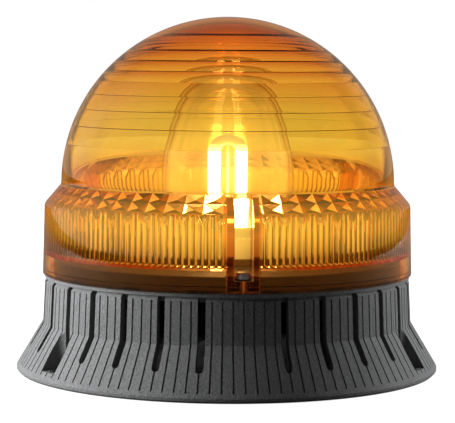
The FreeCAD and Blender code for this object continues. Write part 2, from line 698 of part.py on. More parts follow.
def make_rear_cover():
    """The cover in the back of the base, with the cone that turns the sound outwards."""
    top = size.ledge_height
    radius = REBATE_RADIUS - size.cover_gap
    disc = turned("rear_disc", [
        (0, COVER_UNDER),
        (radius, COVER_UNDER),
        (radius, top),
        (size.deflector_radius, top),
        (size.deflector_tip, top + size.deflector_height),
        (0, top + size.deflector_height),
    ])
    head = size.small_head + size.screw_gap
    notch = PAD_RADIUS + size.part_gap
    high = top + OVERRUN
    tools = [
        *ring_of_cylinders("pad_notch", PADS, MOUNT_CIRCLE, notch, -OVERRUN, high),
        *ring_of_boxes("pad_mouth", PADS, MOUNT_CIRCLE, FLANGE_RADIUS + OVERRUN, notch * 2,
                       -OVERRUN, high),
        *ring_of_cylinders("rear_hole", PILLARS, COVER_SCREW_CIRCLE, SMALL_HOLE, -OVERRUN, high),
        *ring_of_cylinders("rear_counterbore", PILLARS, COVER_SCREW_CIRCLE, head, -OVERRUN,
                           top - size.cover_skin),
        cylinder("rear_cable_hole", size.cable_hole, -OVERRUN, high, 0, CABLE_OFFSET),
    ]
    keep("rear_cover", cut("rear_cover", disc, tools))
    seat = top - size.cover_skin
    screws = []
    for index, angle in enumerate(PILLARS, start=1):
        x, y = polar(COVER_SCREW_CIRCLE, angle)
        name = f"rear_cover_screw_{index}"
        head_top = seat - size.small_head_height
        screw_head = cylinder(f"{name}_head", size.small_head, head_top, seat, x, y)
        shank_top = top + size.cover_screw_depth
        shank = cylinder(f"{name}_shank", size.small_screw, seat, shank_top, x, y)
        screws.append(fused(name, [screw_head, shank]))
    keep("rear_cover_screws", grouped("rear_cover_screws", screws))


def make_cable_grommets():
    """Rubber grommets where the cable passes the rear cover and the tub floor."""
    items = []
    neck = size.cable_hole - size.screw_gap
    for index, (low, high) in enumerate(((COVER_UNDER, size.ledge_height),
                                         (TUB_FLOOR, FLOOR_TOP)), start=1):
        ring = turned(f"cable_grommet_{index}", [
            (size.cable_bore, low - size.grommet_lip),
            (size.grommet_flange, low - size.grommet_lip),
            (size.grommet_flange, low),
            (neck, low),
            (neck, high),
            (size.grommet_flange, high),
            (size.grommet_flange - size.grommet_crown, high + size.grommet_crown),
            (size.cable_bore, high + size.grommet_crown),
        ])
        bind(ring, "Placement.Base.y", CABLE_OFFSET)
        items.append(ring)
    keep("cable_grommets", grouped("cable_grommets", items))


def make_lens_gasket():
    """The flat seal under the lens, with a tab round each lens screw."""
    outer = SEAT_RADIUS - size.part_gap / 2
    ring = turned("gasket_ring", [
        (outer - size.gasket_width, SEAT),
        (outer, SEAT),
        (outer, LENS_FOOT),
        (outer - size.gasket_width, LENS_FOOT),
    ])
    middle = outer - size.gasket_width / 2
    tabs = ring_of_boxes("gasket_tab", CHANNELS, CHANNEL_BACK, middle, CHANNEL_OUTER, SEAT, LENS_FOOT)
    hole = size.lens_screw_radius + size.part_gap
    holes = ring_of_cylinders("gasket_hole", CHANNELS, SCREW_CIRCLE, hole, SEAT - OVERRUN,
                              LENS_FOOT + OVERRUN)
    keep("lens_gasket", cut("lens_gasket", fused("gasket_blank", [ring, *tabs]), holes))


def make_thread_inserts():
    """Brass inserts that take the lens screws."""
    hole = size.lens_screw_radius + size.screw_gap
    items = []
    for index, angle in enumerate(CHANNELS, start=1):
        x, y = polar(SCREW_CIRCLE, angle)
        sleeve = cylinder(f"insert_sleeve_{index}", size.insert_radius, SEAT - size.insert_length,
                          SEAT, x, y)
        bore = cylinder(f"insert_bore_{index}", hole, SEAT - size.insert_length - OVERRUN,
                        SEAT + OVERRUN, x, y)
        items.append(cut(f"thread_insert_{index}", sleeve, [bore]))
    keep("thread_inserts", grouped("thread_inserts", items))


def dome_rings():
    """Inner outline of the dome: short cones between rings that step in by a ledge."""
    inner = DOME_RADIUS - size.lens_wall
    corners = []
    for elevation in RING_ELEVATIONS:
        out, up = polar(inner, elevation)
        corners.append((out + size.ring_step, DOME_BASE + up))
        corners.append((out, DOME_BASE + up))
    last = corners.pop()
    corners.append((*last, (0, DOME_BASE)))
    corners.append((0, DOME_BASE + inner))
    return corners


def shape_ribs(hollow):
    """Leave half-round upright ribs standing on the wall by taking them out of the hollow."""
    sketch = new_sketch(hollow, "rib_outline", "XY_Plane")
    bind(sketch, "AttachmentOffset.Base.z", RIB_FOOT)
    circle = sketch.addGeometry(Part.Circle(Vector(), Vector(0, 0, 1), size.rib_radius.number))
    row = sketch.addConstraint(Sketcher.Constraint("Radius", circle, size.rib_radius.number))
    sketch.renameConstraint(row, "rib_radius")
    sketch.setExpression("Constraints.rib_radius", size.rib_radius.text)
    pin_point(sketch, circle, 3, *polar(SHOULDER_RADIUS - size.lens_wall, RIB_START), "rib")
    rib = hollow.newObject("PartDesign::Pocket", "rib")
    rib.Profile = sketch
    rib.Reversed = True
    bind(rib, "Length", SHOULDER_HEIGHT - size.shoulder_inset - size.rib_stop - RIB_FOOT)
    patterned(hollow, rib, 360, RIB_COUNT)


def shape_facets(hollow):
    """Leave two rows of pyramid gems standing on the inside of the shoulder."""
    slope = math.atan2(size.shoulder_rise.number, size.shoulder_width.number)
    across = Vector(-math.sin(slope), 0, -math.cos(slope))
    along = Vector(-math.cos(slope), 0, math.sin(slope))
    facing = Rotation(Vector(0, 1, 0), across, along, "XYZ")
    length = root(size.shoulder_rise * size.shoulder_rise + size.shoulder_width * size.shoulder_width)
    foot = SHOULDER_RADIUS - size.lens_wall
    low = SHOULDER_HEIGHT - size.shoulder_inset
    for row, share in enumerate(FACET_ROWS, start=1):
        middle = foot - size.shoulder_width * share
        half_width = middle * (math.tan(math.pi / FACET_COUNT) * FACET_FILL)
        half_length = length / 4 * FACET_FILL
        gem = hollow.newObject("PartDesign::SubtractiveWedge", f"gem_{row}")
        gem.AttachmentSupport = [(origin_plane(hollow, "XY_Plane"), "")]
        gem.MapMode = "FlatFace"
        gem.AttachmentOffset = Placement(Vector(), facing)
        bind(gem, "AttachmentOffset.Base.x", middle)
        bind(gem, "AttachmentOffset.Base.z", low + size.shoulder_rise * share)
        for path, value in (
            ("Xmin", 0 - half_width), ("Xmax", half_width), ("X2min", 0), ("X2max", 0),
            ("Zmin", 0 - half_length), ("Zmax", half_length), ("Z2min", 0), ("Z2max", 0),
            ("Ymin", 0 - size.facet_root), ("Ymax", size.facet_depth),
        ):
            bind(gem, path, value)
        patterned(hollow, gem, 360, FACET_COUNT)


def make_lens():
    """The amber lens: foot, ribbed wall, shoulder, stepped dome and three screw channels."""
    outside = turned("lens_outside", [
        (0, LENS_FOOT),
        (LENS_RADIUS, LENS_FOOT),
        (SHOULDER_RADIUS, SHOULDER_HEIGHT),
        (DOME_RADIUS, DOME_BASE, (0, DOME_BASE)),
        (0, DOME_BASE + DOME_RADIUS),
    ])
    plain = LENS_RADIUS - size.lens_wall
    ribbed = SHOULDER_RADIUS - size.lens_wall
    inside = turned("lens_inside", [
        (0, LENS_FOOT - OVERRUN),
        (LENS_FOOT_INNER, LENS_FOOT - OVERRUN),
        (LENS_FOOT_INNER, LENS_FOOT + size.foot_thickness),
        (plain, LENS_FOOT + size.foot_thickness),
        (plain, RIB_FOOT - size.rib_rise),
        (ribbed, RIB_FOOT),
        (ribbed, SHOULDER_HEIGHT - size.shoulder_inset),
        (DOME_RADIUS - size.lens_wall, DOME_BASE - size.shoulder_inset),
        *dome_rings(),
    ])
    reach = LENS_RADIUS + OVERRUN
    blocks = ring_of_boxes("channel_block", CHANNELS, CHANNEL_BACK, reach, CHANNEL_OUTER,
                           LENS_FOOT - OVERRUN, DOME_BASE)
    hollow = doc.addObject("PartDesign::Body", "lens_hollow")
    hollow.BaseFeature = cut("lens_plain_hollow", inside, blocks)
    shape_ribs(hollow)
    shape_facets(hollow)
    hole = size.lens_screw_radius + size.screw_gap
    openings = [
        *ring_of_boxes("channel", CHANNELS, DOME_RADIUS, reach, size.channel_width,
                       CHANNEL_FLOOR, DOME_BASE + OVERRUN),
        *ring_of_cylinders("lens_screw_hole", CHANNELS, SCREW_CIRCLE, hole,
                           LENS_FOOT - OVERRUN, CHANNEL_FLOOR + OVERRUN),
    ]
    drilled = cut("lens_drilled", outside, openings)
    keep("lens_dome", cut("lens_dome", drilled, [hollow]))


def make_lens_screws():
    """Captive lens screws and the sealing washers under their heads."""
    seat = CHANNEL_FLOOR + size.washer_thickness
    depth = seat - (SEAT - size.lens_screw_depth)
    hole = size.lens_screw_radius + size.screw_gap
    screws = []
    washers = []
    for index, angle in enumerate(CHANNELS, start=1):
        x, y = polar(SCREW_CIRCLE, angle)
        screws.append(screw(f"lens_screw_{index}", x, y, seat, size.lens_head_radius,
                            size.lens_head_height, size.lens_screw_radius, depth))
        disc = cylinder(f"washer_disc_{index}", size.washer_radius, CHANNEL_FLOOR, seat, x, y)
        bore = cylinder(f"washer_bore_{index}", hole, CHANNEL_FLOOR - OVERRUN, seat + OVERRUN, x, y)
        washers.append(cut(f"screw_washer_{index}", disc, [bore]))
    keep("lens_screws", grouped("lens_screws", screws))
    keep("screw_washers", grouped("screw_washers", washers))


def make_chassis():
    """The tub that carries the siren driver, the board and the lamp deck."""
    tub_inner = TUB_RADIUS - size.tub_wall
    collar_inner = COLLAR_RADIUS - size.collar_wall
    flange_top = SEAT + size.chassis_flange
    tub = turned("chassis_tub", [
        (size.driver_opening, TUB_FLOOR),
        (TUB_RADIUS, TUB_FLOOR),
        (TUB_RADIUS, SEAT),
        (COLLAR_RADIUS, SEAT),
        (COLLAR_RADIUS, COLLAR_TOP),
        (collar_inner, COLLAR_TOP),
        (collar_inner, flange_top),
        (TUB_RADIUS, flange_top),
        (TUB_RADIUS, DECK_SEAT),
        (tub_inner, DECK_SEAT),
        (tub_inner, FLOOR_TOP),
        (size.driver_opening, FLOOR_TOP),
    ])
    rooted = FLOOR_TOP - size.floor_thickness / 2
    posts = [
        *ring_of_cylinders("standoff", CHANNELS, STANDOFF_CIRCLE, size.standoff_radius,
                           rooted, BOARD_SEAT),
        *ring_of_cylinders("deck_pillar", PADS, DECK_SCREW_CIRCLE, size.deck_pillar,
                           rooted, DECK_SEAT),
    ]
    holes = [
        *ring_of_boxes("collar_notch", CHANNELS, NOTCH_BACK, LENS_RADIUS, NOTCH_WIDTH,
                       SEAT - OVERRUN, COLLAR_TOP + OVERRUN),
        *ring_of_cylinders("flange_hole", PADS, CHASSIS_SCREW_CIRCLE, SMALL_HOLE,
                           SEAT - OVERRUN, flange_top + OVERRUN),
        *ring_of_cylinders("standoff_hole", CHANNELS, STANDOFF_CIRCLE, SMALL_HOLE,
                           BOARD_SEAT - size.small_screw_depth, BOARD_SEAT + OVERRUN),
        *ring_of_cylinders("pillar_hole", PADS, DECK_SCREW_CIRCLE, SMALL_HOLE,
                           DECK_SEAT - size.small_screw_depth, DECK_SEAT + OVERRUN),
        *ring_of_cylinders("driver_hole", PADS, DRIVER_SCREW_CIRCLE, SMALL_HOLE,
                           TUB_FLOOR - OVERRUN, FLOOR_TOP + OVERRUN),
        cylinder("tub_cable_hole", size.cable_hole, TUB_FLOOR - OVERRUN, FLOOR_TOP + OVERRUN,
                 0, CABLE_OFFSET),
    ]
    keep("chassis", cut("chassis", fused("chassis_blank", [tub, *posts]), holes))
    depth = size.chassis_flange + size.small_screw_depth
    small_screws("chassis_screws", PADS, CHASSIS_SCREW_CIRCLE, flange_top, depth)


def make_lamp_deck():
    """The dark deck that closes the tub below the lamp."""
    radius = COLLAR_RADIUS - size.collar_wall - size.part_gap
    disc = cylinder("deck_disc", radius, DECK_SEAT, COLLAR_TOP)
    low, high = DECK_SEAT - OVERRUN, COLLAR_TOP + OVERRUN
    tools = [
        *ring_of_boxes("deck_notch", CHANNELS, NOTCH_BACK, LENS_RADIUS, NOTCH_WIDTH, low, high),
        *ring_of_cylinders("deck_hole", PADS, DECK_SCREW_CIRCLE, SMALL_HOLE, low, high),
        *ring_of_cylinders("lamp_pin_hole", PILLARS, LAMP_PIN_CIRCLE,
                           size.pin_radius + size.part_gap, low, high),
    ]
    keep("lamp_deck", cut("lamp_deck", disc, tools))
    depth = size.deck_thickness + size.small_screw_depth - size.screw_gap
    small_screws("deck_screws", PADS, DECK_SCREW_CIRCLE, COLLAR_TOP, depth)


def make_driver():
    """The siren driver: seal, frame, top plate, magnet, yoke and its fasteners."""
    keep("driver_seal", cut("driver_seal", turned("driver_seal_ring", [
        (size.driver_opening, FLOOR_TOP),
        (DRIVER_FLANGE, FLOOR_TOP),
        (DRIVER_FLANGE, FRAME_SEAT),
        (size.driver_opening, FRAME_SEAT),
    ]), ring_of_cylinders("seal_hole", PADS, DRIVER_SCREW_CIRCLE, SMALL_HOLE,
                          FLOOR_TOP - OVERRUN, FRAME_SEAT + OVERRUN)))
    flange_top = FRAME_SEAT + size.frame_thickness
    rim = FRAME_SEAT + size.frame_rise
    basket = turned("driver_basket", [
        (size.driver_opening, FRAME_SEAT),
        (DRIVER_FLANGE, FRAME_SEAT),
        (DRIVER_FLANGE, flange_top),
        (size.driver_opening + size.frame_wall, flange_top),
        (BASKET_RADIUS, rim),
        (BASKET_RADIUS, FRAME_TOP),
        (MAGNET_HOLE, FRAME_TOP),
        (MAGNET_HOLE, rim),
        (BASKET_RADIUS - size.frame_wall, rim),
        (size.driver_opening, FRAME_SEAT + size.frame_thickness / 2),
    ])
    keep("driver_frame", cut("driver_frame", basket, ring_of_cylinders(
        "frame_hole", PADS, DRIVER_SCREW_CIRCLE, SMALL_HOLE,
        FRAME_SEAT - OVERRUN, flange_top + OVERRUN)))
    keep("driver_top_plate", turned("driver_top_plate", [
        (PLATE_HOLE, FRAME_TOP),
        (PLATE_RADIUS, FRAME_TOP),
        (PLATE_RADIUS, PLATE_TOP),
        (PLATE_HOLE, PLATE_TOP),
    ]))
    keep("driver_magnet", turned("driver_magnet", [
        (MAGNET_HOLE, PLATE_TOP),
        (MAGNET_RADIUS, PLATE_TOP),
        (MAGNET_RADIUS, MAGNET_TOP),
        (MAGNET_HOLE, MAGNET_TOP),
    ]))
    keep("driver_yoke", turned("driver_yoke", [
        (0, FRAME_TOP),
        (POLE_RADIUS, FRAME_TOP),
        (POLE_RADIUS, MAGNET_TOP),
        (YOKE_RADIUS, MAGNET_TOP),
        (YOKE_RADIUS, MAGNET_TOP + size.yoke_thickness),
        (0, MAGNET_TOP + size.yoke_thickness),
    ]))
    depth = size.frame_thickness + size.driver_seal + size.floor_thickness
    small_screws("driver_screws", PADS, DRIVER_SCREW_CIRCLE, flange_top, depth)
    pins = ring_of_cylinders("driver_pin", DRIVER_PINS, DRIVER_PIN_CIRCLE, size.pin_radius,
                             flange_top, BOARD_SEAT)
    keep("driver_pins", grouped("driver_pins", pins))


def make_diaphragm():
    """The moving cone of the driver and the voice coil that drives it."""
    edge = size.driver_opening - size.part_gap
    thick = size.cone_thickness
    low = FRAME_SEAT - size.part_gap / 2
    top = low + size.cone_rise
    coil_outer = size.coil_radius + size.coil_wall
    skirt = BASKET_RADIUS - size.frame_wall
    keep("diaphragm", turned("diaphragm", [
        (0, low + thick),
        (size.coil_radius, top),
        (coil_outer, top),
        (skirt, low),
        (edge, low),
        (edge, low + thick),
        (skirt, low + thick),
        (coil_outer, top + thick),
        (size.coil_radius, top + thick),
        (0, low + thick * 2),
    ]))
    foot = top + thick
    keep("voice_coil", turned("voice_coil", [
        (size.coil_radius, foot),
        (coil_outer, foot),
        (coil_outer, foot + size.coil_height),
        (size.coil_radius, foot + size.coil_height),
    ]))


def make_board():
    """The circuit board that rings the driver, its screws and the lamp contacts."""
    low, high = BOARD_SEAT - OVERRUN, BOARD_TOP + OVERRUN
    disc = turned("board_disc", [
        (BOARD_HOLE, BOARD_SEAT),
        (BOARD_RADIUS, BOARD_SEAT),
        (BOARD_RADIUS, BOARD_TOP),
        (BOARD_HOLE, BOARD_TOP),
    ])
    tools = [
        *ring_of_cylinders("board_screw_hole", CHANNELS, STANDOFF_CIRCLE, SMALL_HOLE, low, high),
        cylinder("board_cable_hole", size.cable_hole, low, high, 0, CABLE_OFFSET),
    ]
    keep("circuit_board", cut("circuit_board", disc, tools))
    depth = size.board_thickness + size.small_screw_depth - size.screw_gap
    small_screws("board_screws", CHANNELS, STANDOFF_CIRCLE, BOARD_TOP, depth)
    contacts = ring_of_cylinders("lamp_contact", PILLARS, LAMP_PIN_CIRCLE, size.pin_radius,
                                 BOARD_TOP, COLLAR_TOP)
    keep("lamp_contacts", grouped("lamp_contacts", contacts))


def make_terminal_block():
    """The row of cable terminals with a clamp screw in each well."""
    length = size.terminal_pitch * TERMINAL_COUNT
    top = BOARD_TOP + size.terminal_height
    body = box("terminal_body", length, size.terminal_depth, BOARD_TOP, top, 0, TERMINAL_OFFSET)
    outer_face = TERMINAL_OFFSET + size.terminal_depth / 2
    well_floor = top - size.terminal_well_depth
    tools = []
    screws = []
    for index in range(TERMINAL_COUNT):
        x = size.terminal_pitch * (index - (TERMINAL_COUNT - 1) / 2)
        tools.append(cylinder(f"terminal_well_{index + 1}", size.terminal_well, well_floor,
                              top + OVERRUN, x, TERMINAL_OFFSET))
        tools.append(box(f"wire_entry_{index + 1}", size.wire_entry, size.terminal_depth,
                         BOARD_TOP + size.wire_entry / 2, BOARD_TOP + size.wire_entry * 3 / 2,
                         x, outer_face))
        head = cylinder(f"terminal_head_{index + 1}", size.terminal_well - size.screw_gap,
                        well_floor, top - size.terminal_well_depth / 2, x, TERMINAL_OFFSET)
        groove = box(f"terminal_slot_{index + 1}", size.terminal_well * 3, size.rotor_slot,
                     top - size.terminal_well_depth * 3 / 4, top, x, TERMINAL_OFFSET)
        screws.append(cut(f"terminal_screw_{index + 1}", head, [groove]))
    keep("terminal_block", cut("terminal_block", body, tools))
    keep("terminal_screws", grouped("terminal_screws", screws))


def make_tone_switch():
    """The tone switch body and its five sliders, each in a channel of its own."""
    length = size.switch_pitch * (SLIDER_COUNT + 1)
    body = box("switch_body", size.switch_depth, length, BOARD_TOP, SWITCH_TOP, SWITCH_OFFSET, 0)
    channel_length = size.slider_length + size.slider_travel + size.slider_gap * 2
    slider_foot = SWITCH_TOP + size.slider_proud - size.slider_height
    slider_x = SWITCH_OFFSET - size.slider_travel / 2
    channels = []
    for index in range(SLIDER_COUNT):
        y = size.switch_pitch * (index - (SLIDER_COUNT - 1) / 2)
        channels.append(box(f"slider_channel_{index + 1}", channel_length,
                            size.slider_width + size.slider_gap * 2, slider_foot - size.slider_gap,
                            SWITCH_TOP + OVERRUN, SWITCH_OFFSET, y))
        slider = box(f"tone_slider_{index + 1}", size.slider_length, size.slider_width, slider_foot,
                     SWITCH_TOP + size.slider_proud, slider_x, y)
        keep(f"tone_slider_{index + 1}", slider)
    keep("tone_switch", cut("tone_switch", body, channels))


def make_volume_trimmer():
    """The volume trimmer's square body and the slotted rotor in its well."""
    x = 0 - SWITCH_OFFSET
    body = box("trimmer_body", size.trimmer_side, size.trimmer_side, BOARD_TOP, TRIMMER_TOP, x, 0)
    rotor_top = TRIMMER_TOP + size.rotor_proud
    rotor_foot = rotor_top - size.rotor_height
    well = cylinder("trimmer_well", size.rotor_radius + size.rotor_gap,
                    rotor_foot - size.slider_gap, TRIMMER_TOP + OVERRUN, x, 0)
    keep("volume_trimmer", cut("volume_trimmer", body, [well]))
    knob = cylinder("rotor_blank", size.rotor_radius, rotor_foot, rotor_top, x, 0)
    groove = box("rotor_groove", size.rotor_radius * 3, size.rotor_slot,
                 rotor_top - size.rotor_slot, rotor_top + OVERRUN, x, 0)
    keep("volume_rotor", cut("volume_rotor", knob, [groove]))


def make_capacitor():
    """The storage capacitor, which lies on the board with a bead near one end."""
    inset = size.capacitor_radius - size.capacitor_groove
    bead = size.capacitor_length / 6
    half = size.capacitor_length / 2
    can = turned("storage_capacitor", [
        (0, 0 - half),
        (size.capacitor_radius, 0 - half),
        (size.capacitor_radius, 0 - half + bead),
        (inset, 0 - half + bead + size.capacitor_groove),
        (size.capacitor_radius, 0 - half + bead + size.capacitor_groove * 2),
        (size.capacitor_radius, half),
        (0, half),
    ])
    can.Placement = Placement(Vector(), Rotation(Vector(1, 1, 0), 90))
    lift = BOARD_TOP + size.capacitor_radius + size.screw_gap / 2
    place(can, *polar(SWITCH_OFFSET, CAPACITOR_ANGLE), lift)
    keep("storage_capacitor", can)


def make_transformer():
    """The trigger transformer: two bobbin plates with the winding between them."""
    start = SWITCH_OFFSET - size.transformer_length / 2
    end = SWITCH_OFFSET + size.transformer_length / 2
    top = BOARD_TOP + size.transformer_height
    plates = [
        radial_box("bobbin_near", TRANSFORMER_ANGLE, start, start + size.flange_plate,
                   size.transformer_width, BOARD_TOP, top),
        radial_box("bobbin_far", TRANSFORMER_ANGLE, end - size.flange_plate, end,
                   size.transformer_width, BOARD_TOP, top),
    ]
    winding = radial_box("winding", TRANSFORMER_ANGLE, start, end,
                         size.transformer_width - size.winding_inset * 2,
                         BOARD_TOP + size.winding_inset, top - size.winding_inset)
    keep("trigger_transformer", fused("trigger_transformer", [*plates, winding]))


def make_socket():
    """The tube socket on the deck and the reflector dish on top of it."""
    turret = turned("socket_turret", [
        (0, COLLAR_TOP),
        (SOCKET_FOOT, COLLAR_TOP),
        (SOCKET_FOOT, SOCKET_STEP),
        (TURRET_RADIUS, SOCKET_STEP),
        (TURRET_RADIUS, TURRET_TOP),
        (0, TURRET_TOP),
    ])
    legs = [
        cylinder(f"leg_hole_{name}", size.tube_radius + size.screw_gap, LEG_FOOT,
                 TURRET_TOP + OVERRUN, x, 0)
        for name, x in (("left", 0 - size.tube_spread), ("right", size.tube_spread))
    ]
    keep("tube_socket", cut("tube_socket", turret, legs))
    rim = TURRET_TOP + size.reflector_rise
    keep("reflector", turned("reflector", [
        (REFLECTOR_HOLE, TURRET_TOP),
        (REFLECTOR_FLAT, TURRET_TOP),
        (REFLECTOR_RADIUS, rim),
        (REFLECTOR_RADIUS, rim + size.reflector_wall),
        (REFLECTOR_FLAT, TURRET_TOP + size.reflector_wall),
        (REFLECTOR_HOLE, TURRET_TOP + size.reflector_wall),
    ]))


def bent_rod(name, radius, foot, bend):
    """Two upright legs joined by a half ring at the top."""
    legs = [
        cylinder(f"{name}_{side}", radius, foot, bend, x, 0)
        for side, x in (("left", 0 - size.tube_spread), ("right", size.tube_spread))
    ]
    arch = doc.addObject("Part::Torus", f"{name}_arch")
    bind(arch, "Radius1", size.tube_spread)
    bind(arch, "Radius2", radius)
    arch.Angle3 = 180
    arch.Placement = Placement(Vector(), Rotation(Vector(1, 0, 0), 90))
    place(arch, 0, 0, bend)
    return fused(name, [*legs, arch])


def make_flash_tube():
    """The bent glass tube with its electrodes, and the trigger wire between the legs."""
    bend = LEG_FOOT + size.tube_leg
    glass = bent_rod("tube_glass", size.tube_radius, LEG_FOOT, bend)
    gas = bent_rod("tube_gas", size.tube_radius - size.tube_wall, LEG_FOOT + size.tube_end, bend)
    sides = (("left", 0 - size.tube_spread), ("right", size.tube_spread))
    seals = [
        cylinder(f"tube_seal_{side}", size.electrode_radius + size.screw_gap / 2,
                 LEG_FOOT - OVERRUN, LEG_FOOT + size.tube_end, x, 0)
        for side, x in sides
    ]
    keep("flash_tube", cut("flash_tube", glass, [gas, *seals]))
    electrodes = [
        cylinder(f"tube_electrode_{side}", size.electrode_radius, LEG_FOOT,
                 LEG_FOOT + size.electrode_length, x, 0)
        for side, x in sides
    ]
    keep("tube_electrodes", grouped("tube_electrodes", electrodes))
    wire_top = bend + size.tube_spread - size.tube_radius - size.screw_gap
    keep("trigger_wire", cylinder("trigger_wire", size.wire_radius, TURRET_TOP, wire_top))


def make_lamp_cover():
    """The clear bullet over the flash tube: an upright foot, a swept side and a round crown."""
    bend = SOCKET_STEP + size.glass_straight
    side_centre = size.glass_radius - size.glass_sweep
    between = size.glass_sweep - size.glass_crown
    crown_rise = root(between * between - side_centre * side_centre)
    crown_centre = bend + crown_rise

    def join(sweep):
        """Where the swept side of a given radius meets the crown."""
        return side_centre - side_centre * sweep / between, bend + crown_rise * sweep / between

    inner = size.glass_radius - size.glass_wall
    inner_sweep = size.glass_sweep - size.glass_wall
    keep("lamp_cover", turned("lamp_cover", [
        (inner, SOCKET_STEP),
        (size.glass_radius, SOCKET_STEP),
        (size.glass_radius, bend, (side_centre, bend)),
        (*join(size.glass_sweep), (0, crown_centre)),
        (0, crown_centre + size.glass_crown),
        (0, crown_centre + size.glass_crown - size.glass_wall, (0, crown_centre)),
        (*join(inner_sweep), (side_centre, bend)),
        (inner, bend),
    ]))


def write_parts():
    """Recompute, refuse anything that failed, and write each piece to its own file."""
    doc.recompute()
    for item in doc.Objects:
        if "Invalid" in item.State or "Error" in item.State:
            raise RuntimeError(f"{item.Name} failed: {item.State}")
    os.makedirs("parts", exist_ok=True)
    for label, item in parts.items():
        shape = item.Shape
        if shape.isNull() or not shape.isValid() or not shape.Solids:
            raise RuntimeError(f"{label} has no sound solid")
    for label, item in parts.items():
        item.Shape.exportStep(f"parts/{label}.step")
        print(f"{label}: {len(item.Shape.Solids)} solid(s), {item.Shape.Volume:.1f} mm3")


make_base_housing()
make_rear_cover()
make_cable_grommets()
make_lens_gasket()
make_thread_inserts()
make_lens()
make_lens_screws()
make_chassis()
make_lamp_deck()
make_driver()
make_diaphragm()
make_board()
make_terminal_block()
make_tone_switch()
make_volume_trimmer()
make_capacitor()
make_transformer()
make_socket()
make_flash_tube()
make_lamp_cover()
write_parts()
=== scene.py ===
"""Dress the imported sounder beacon: finishes, the amber lens, the flash lamp and a plain studio.

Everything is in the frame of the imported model: +Z up from the mounting face, the front lens screw
towards -Y. The lens and its screws are given in millimetres, finishes and studio in metres.
"""
from __future__ import annotations

import logging
import math
from dataclasses import dataclass
from enum import Enum
from typing import Iterable, Sequence, Union

import bmesh
import bpy
from mathutils import Matrix, Vector


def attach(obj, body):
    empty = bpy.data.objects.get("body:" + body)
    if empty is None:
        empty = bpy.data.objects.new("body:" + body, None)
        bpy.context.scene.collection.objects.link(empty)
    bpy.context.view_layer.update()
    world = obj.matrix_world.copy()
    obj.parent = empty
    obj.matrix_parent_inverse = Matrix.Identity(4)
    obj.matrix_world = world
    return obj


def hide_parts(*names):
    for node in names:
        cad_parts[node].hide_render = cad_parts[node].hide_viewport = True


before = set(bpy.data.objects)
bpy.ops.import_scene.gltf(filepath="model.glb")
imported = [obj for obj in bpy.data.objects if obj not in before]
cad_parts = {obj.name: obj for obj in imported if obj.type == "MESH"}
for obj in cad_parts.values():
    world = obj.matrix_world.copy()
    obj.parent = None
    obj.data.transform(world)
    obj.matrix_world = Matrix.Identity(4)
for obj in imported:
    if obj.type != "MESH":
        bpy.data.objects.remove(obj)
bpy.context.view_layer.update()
MM = 0.001
WHITE = (1.0, 1.0, 1.0, 1.0)
Triple = tuple[float, float, float]
Colour = Triple
Corner = tuple[float, float]
Socket = bpy.types.NodeSocket
Value = Union[Socket, float]
Row = list[bmesh.types.BMVert]
log = logging.getLogger("sounder_beacon")


class Body(Enum):
    """The rigid body that the lens and its screws ride on."""

    LENS = "lens"


class Axis(Enum):
    """The axes of the frame."""

    X = "X"
    Y = "Y"
    Z = "Z"


class Operation(Enum):
    """Ways of combining values in a node tree."""

    ADD = "ADD"
    MULTIPLY = "MULTIPLY"
    SMALLER = "MINIMUM"
    LARGER = "MAXIMUM"
    ABOVE = "GREATER_THAN"
    BELOW = "LESS_THAN"
    TURN = "ARCTAN2"
    FOLD = "PINGPONG"
    COSINE = "COSINE"


class Curve(Enum):
    """How a value passes from one level to another."""

    STRAIGHT = "LINEAR"
    SOFT = "SMOOTHSTEP"
    SOFTER = "SMOOTHERSTEP"


class Nodes:
    """A node tree under construction: nodes are added and wired by short calls."""

    def __init__(self, tree: bpy.types.NodeTree) -> None:
        """Start from an empty tree.

        Args:
            tree: The tree to fill.
        """
        self.tree = tree
        self.tree.nodes.clear()

    def add(self, kind: str, inputs: dict | None = None, **settings: object) -> bpy.types.Node:
        """Add a node.

        Args:
            kind: Node type without the leading "ShaderNode".
            inputs: Socket name or number to constant value or to an output socket.
            **settings: Attributes of the node.

        Returns:
            The new node.
        """
        node = self.tree.nodes.new("ShaderNode" + kind)
        for key, value in settings.items():
            setattr(node, key, value)
        for key, value in (inputs or {}).items():
            if isinstance(value, Socket):
                self.tree.links.new(value, node.inputs[key])
            else:
                node.inputs[key].default_value = value
        return node

    def math(self, operation: Operation, first: Value, second: Value = 0.0) -> Socket:
        """Combine two values.

        Args:
            operation: The way of combining them.
            first: The first value.
            second: The second value, where the operation has one.

        Returns:
            The result.
        """
        return self.add("Math", {0: first, 1: second}, operation=operation.value).outputs[0]

    def fade(self, value: Socket, start: float, end: float, low: float = 0.0, high: float = 1.0,
             curve: Curve = Curve.STRAIGHT) -> Socket:
        """Pass from one level to another as a value goes from start to end.

        Args:
            value: The value to read.
            start: Value where the change begins.
            end: Value where the change ends.
            low: Level at the start.
            high: Level at the end.
            curve: Form of the change.

        Returns:
            The level.
        """
        node = self.add("MapRange", {
            "Value": value, "From Min": start, "From Max": end, "To Min": low, "To Max": high,
        }, interpolation_type=curve.value)
        return node.outputs["Result"]


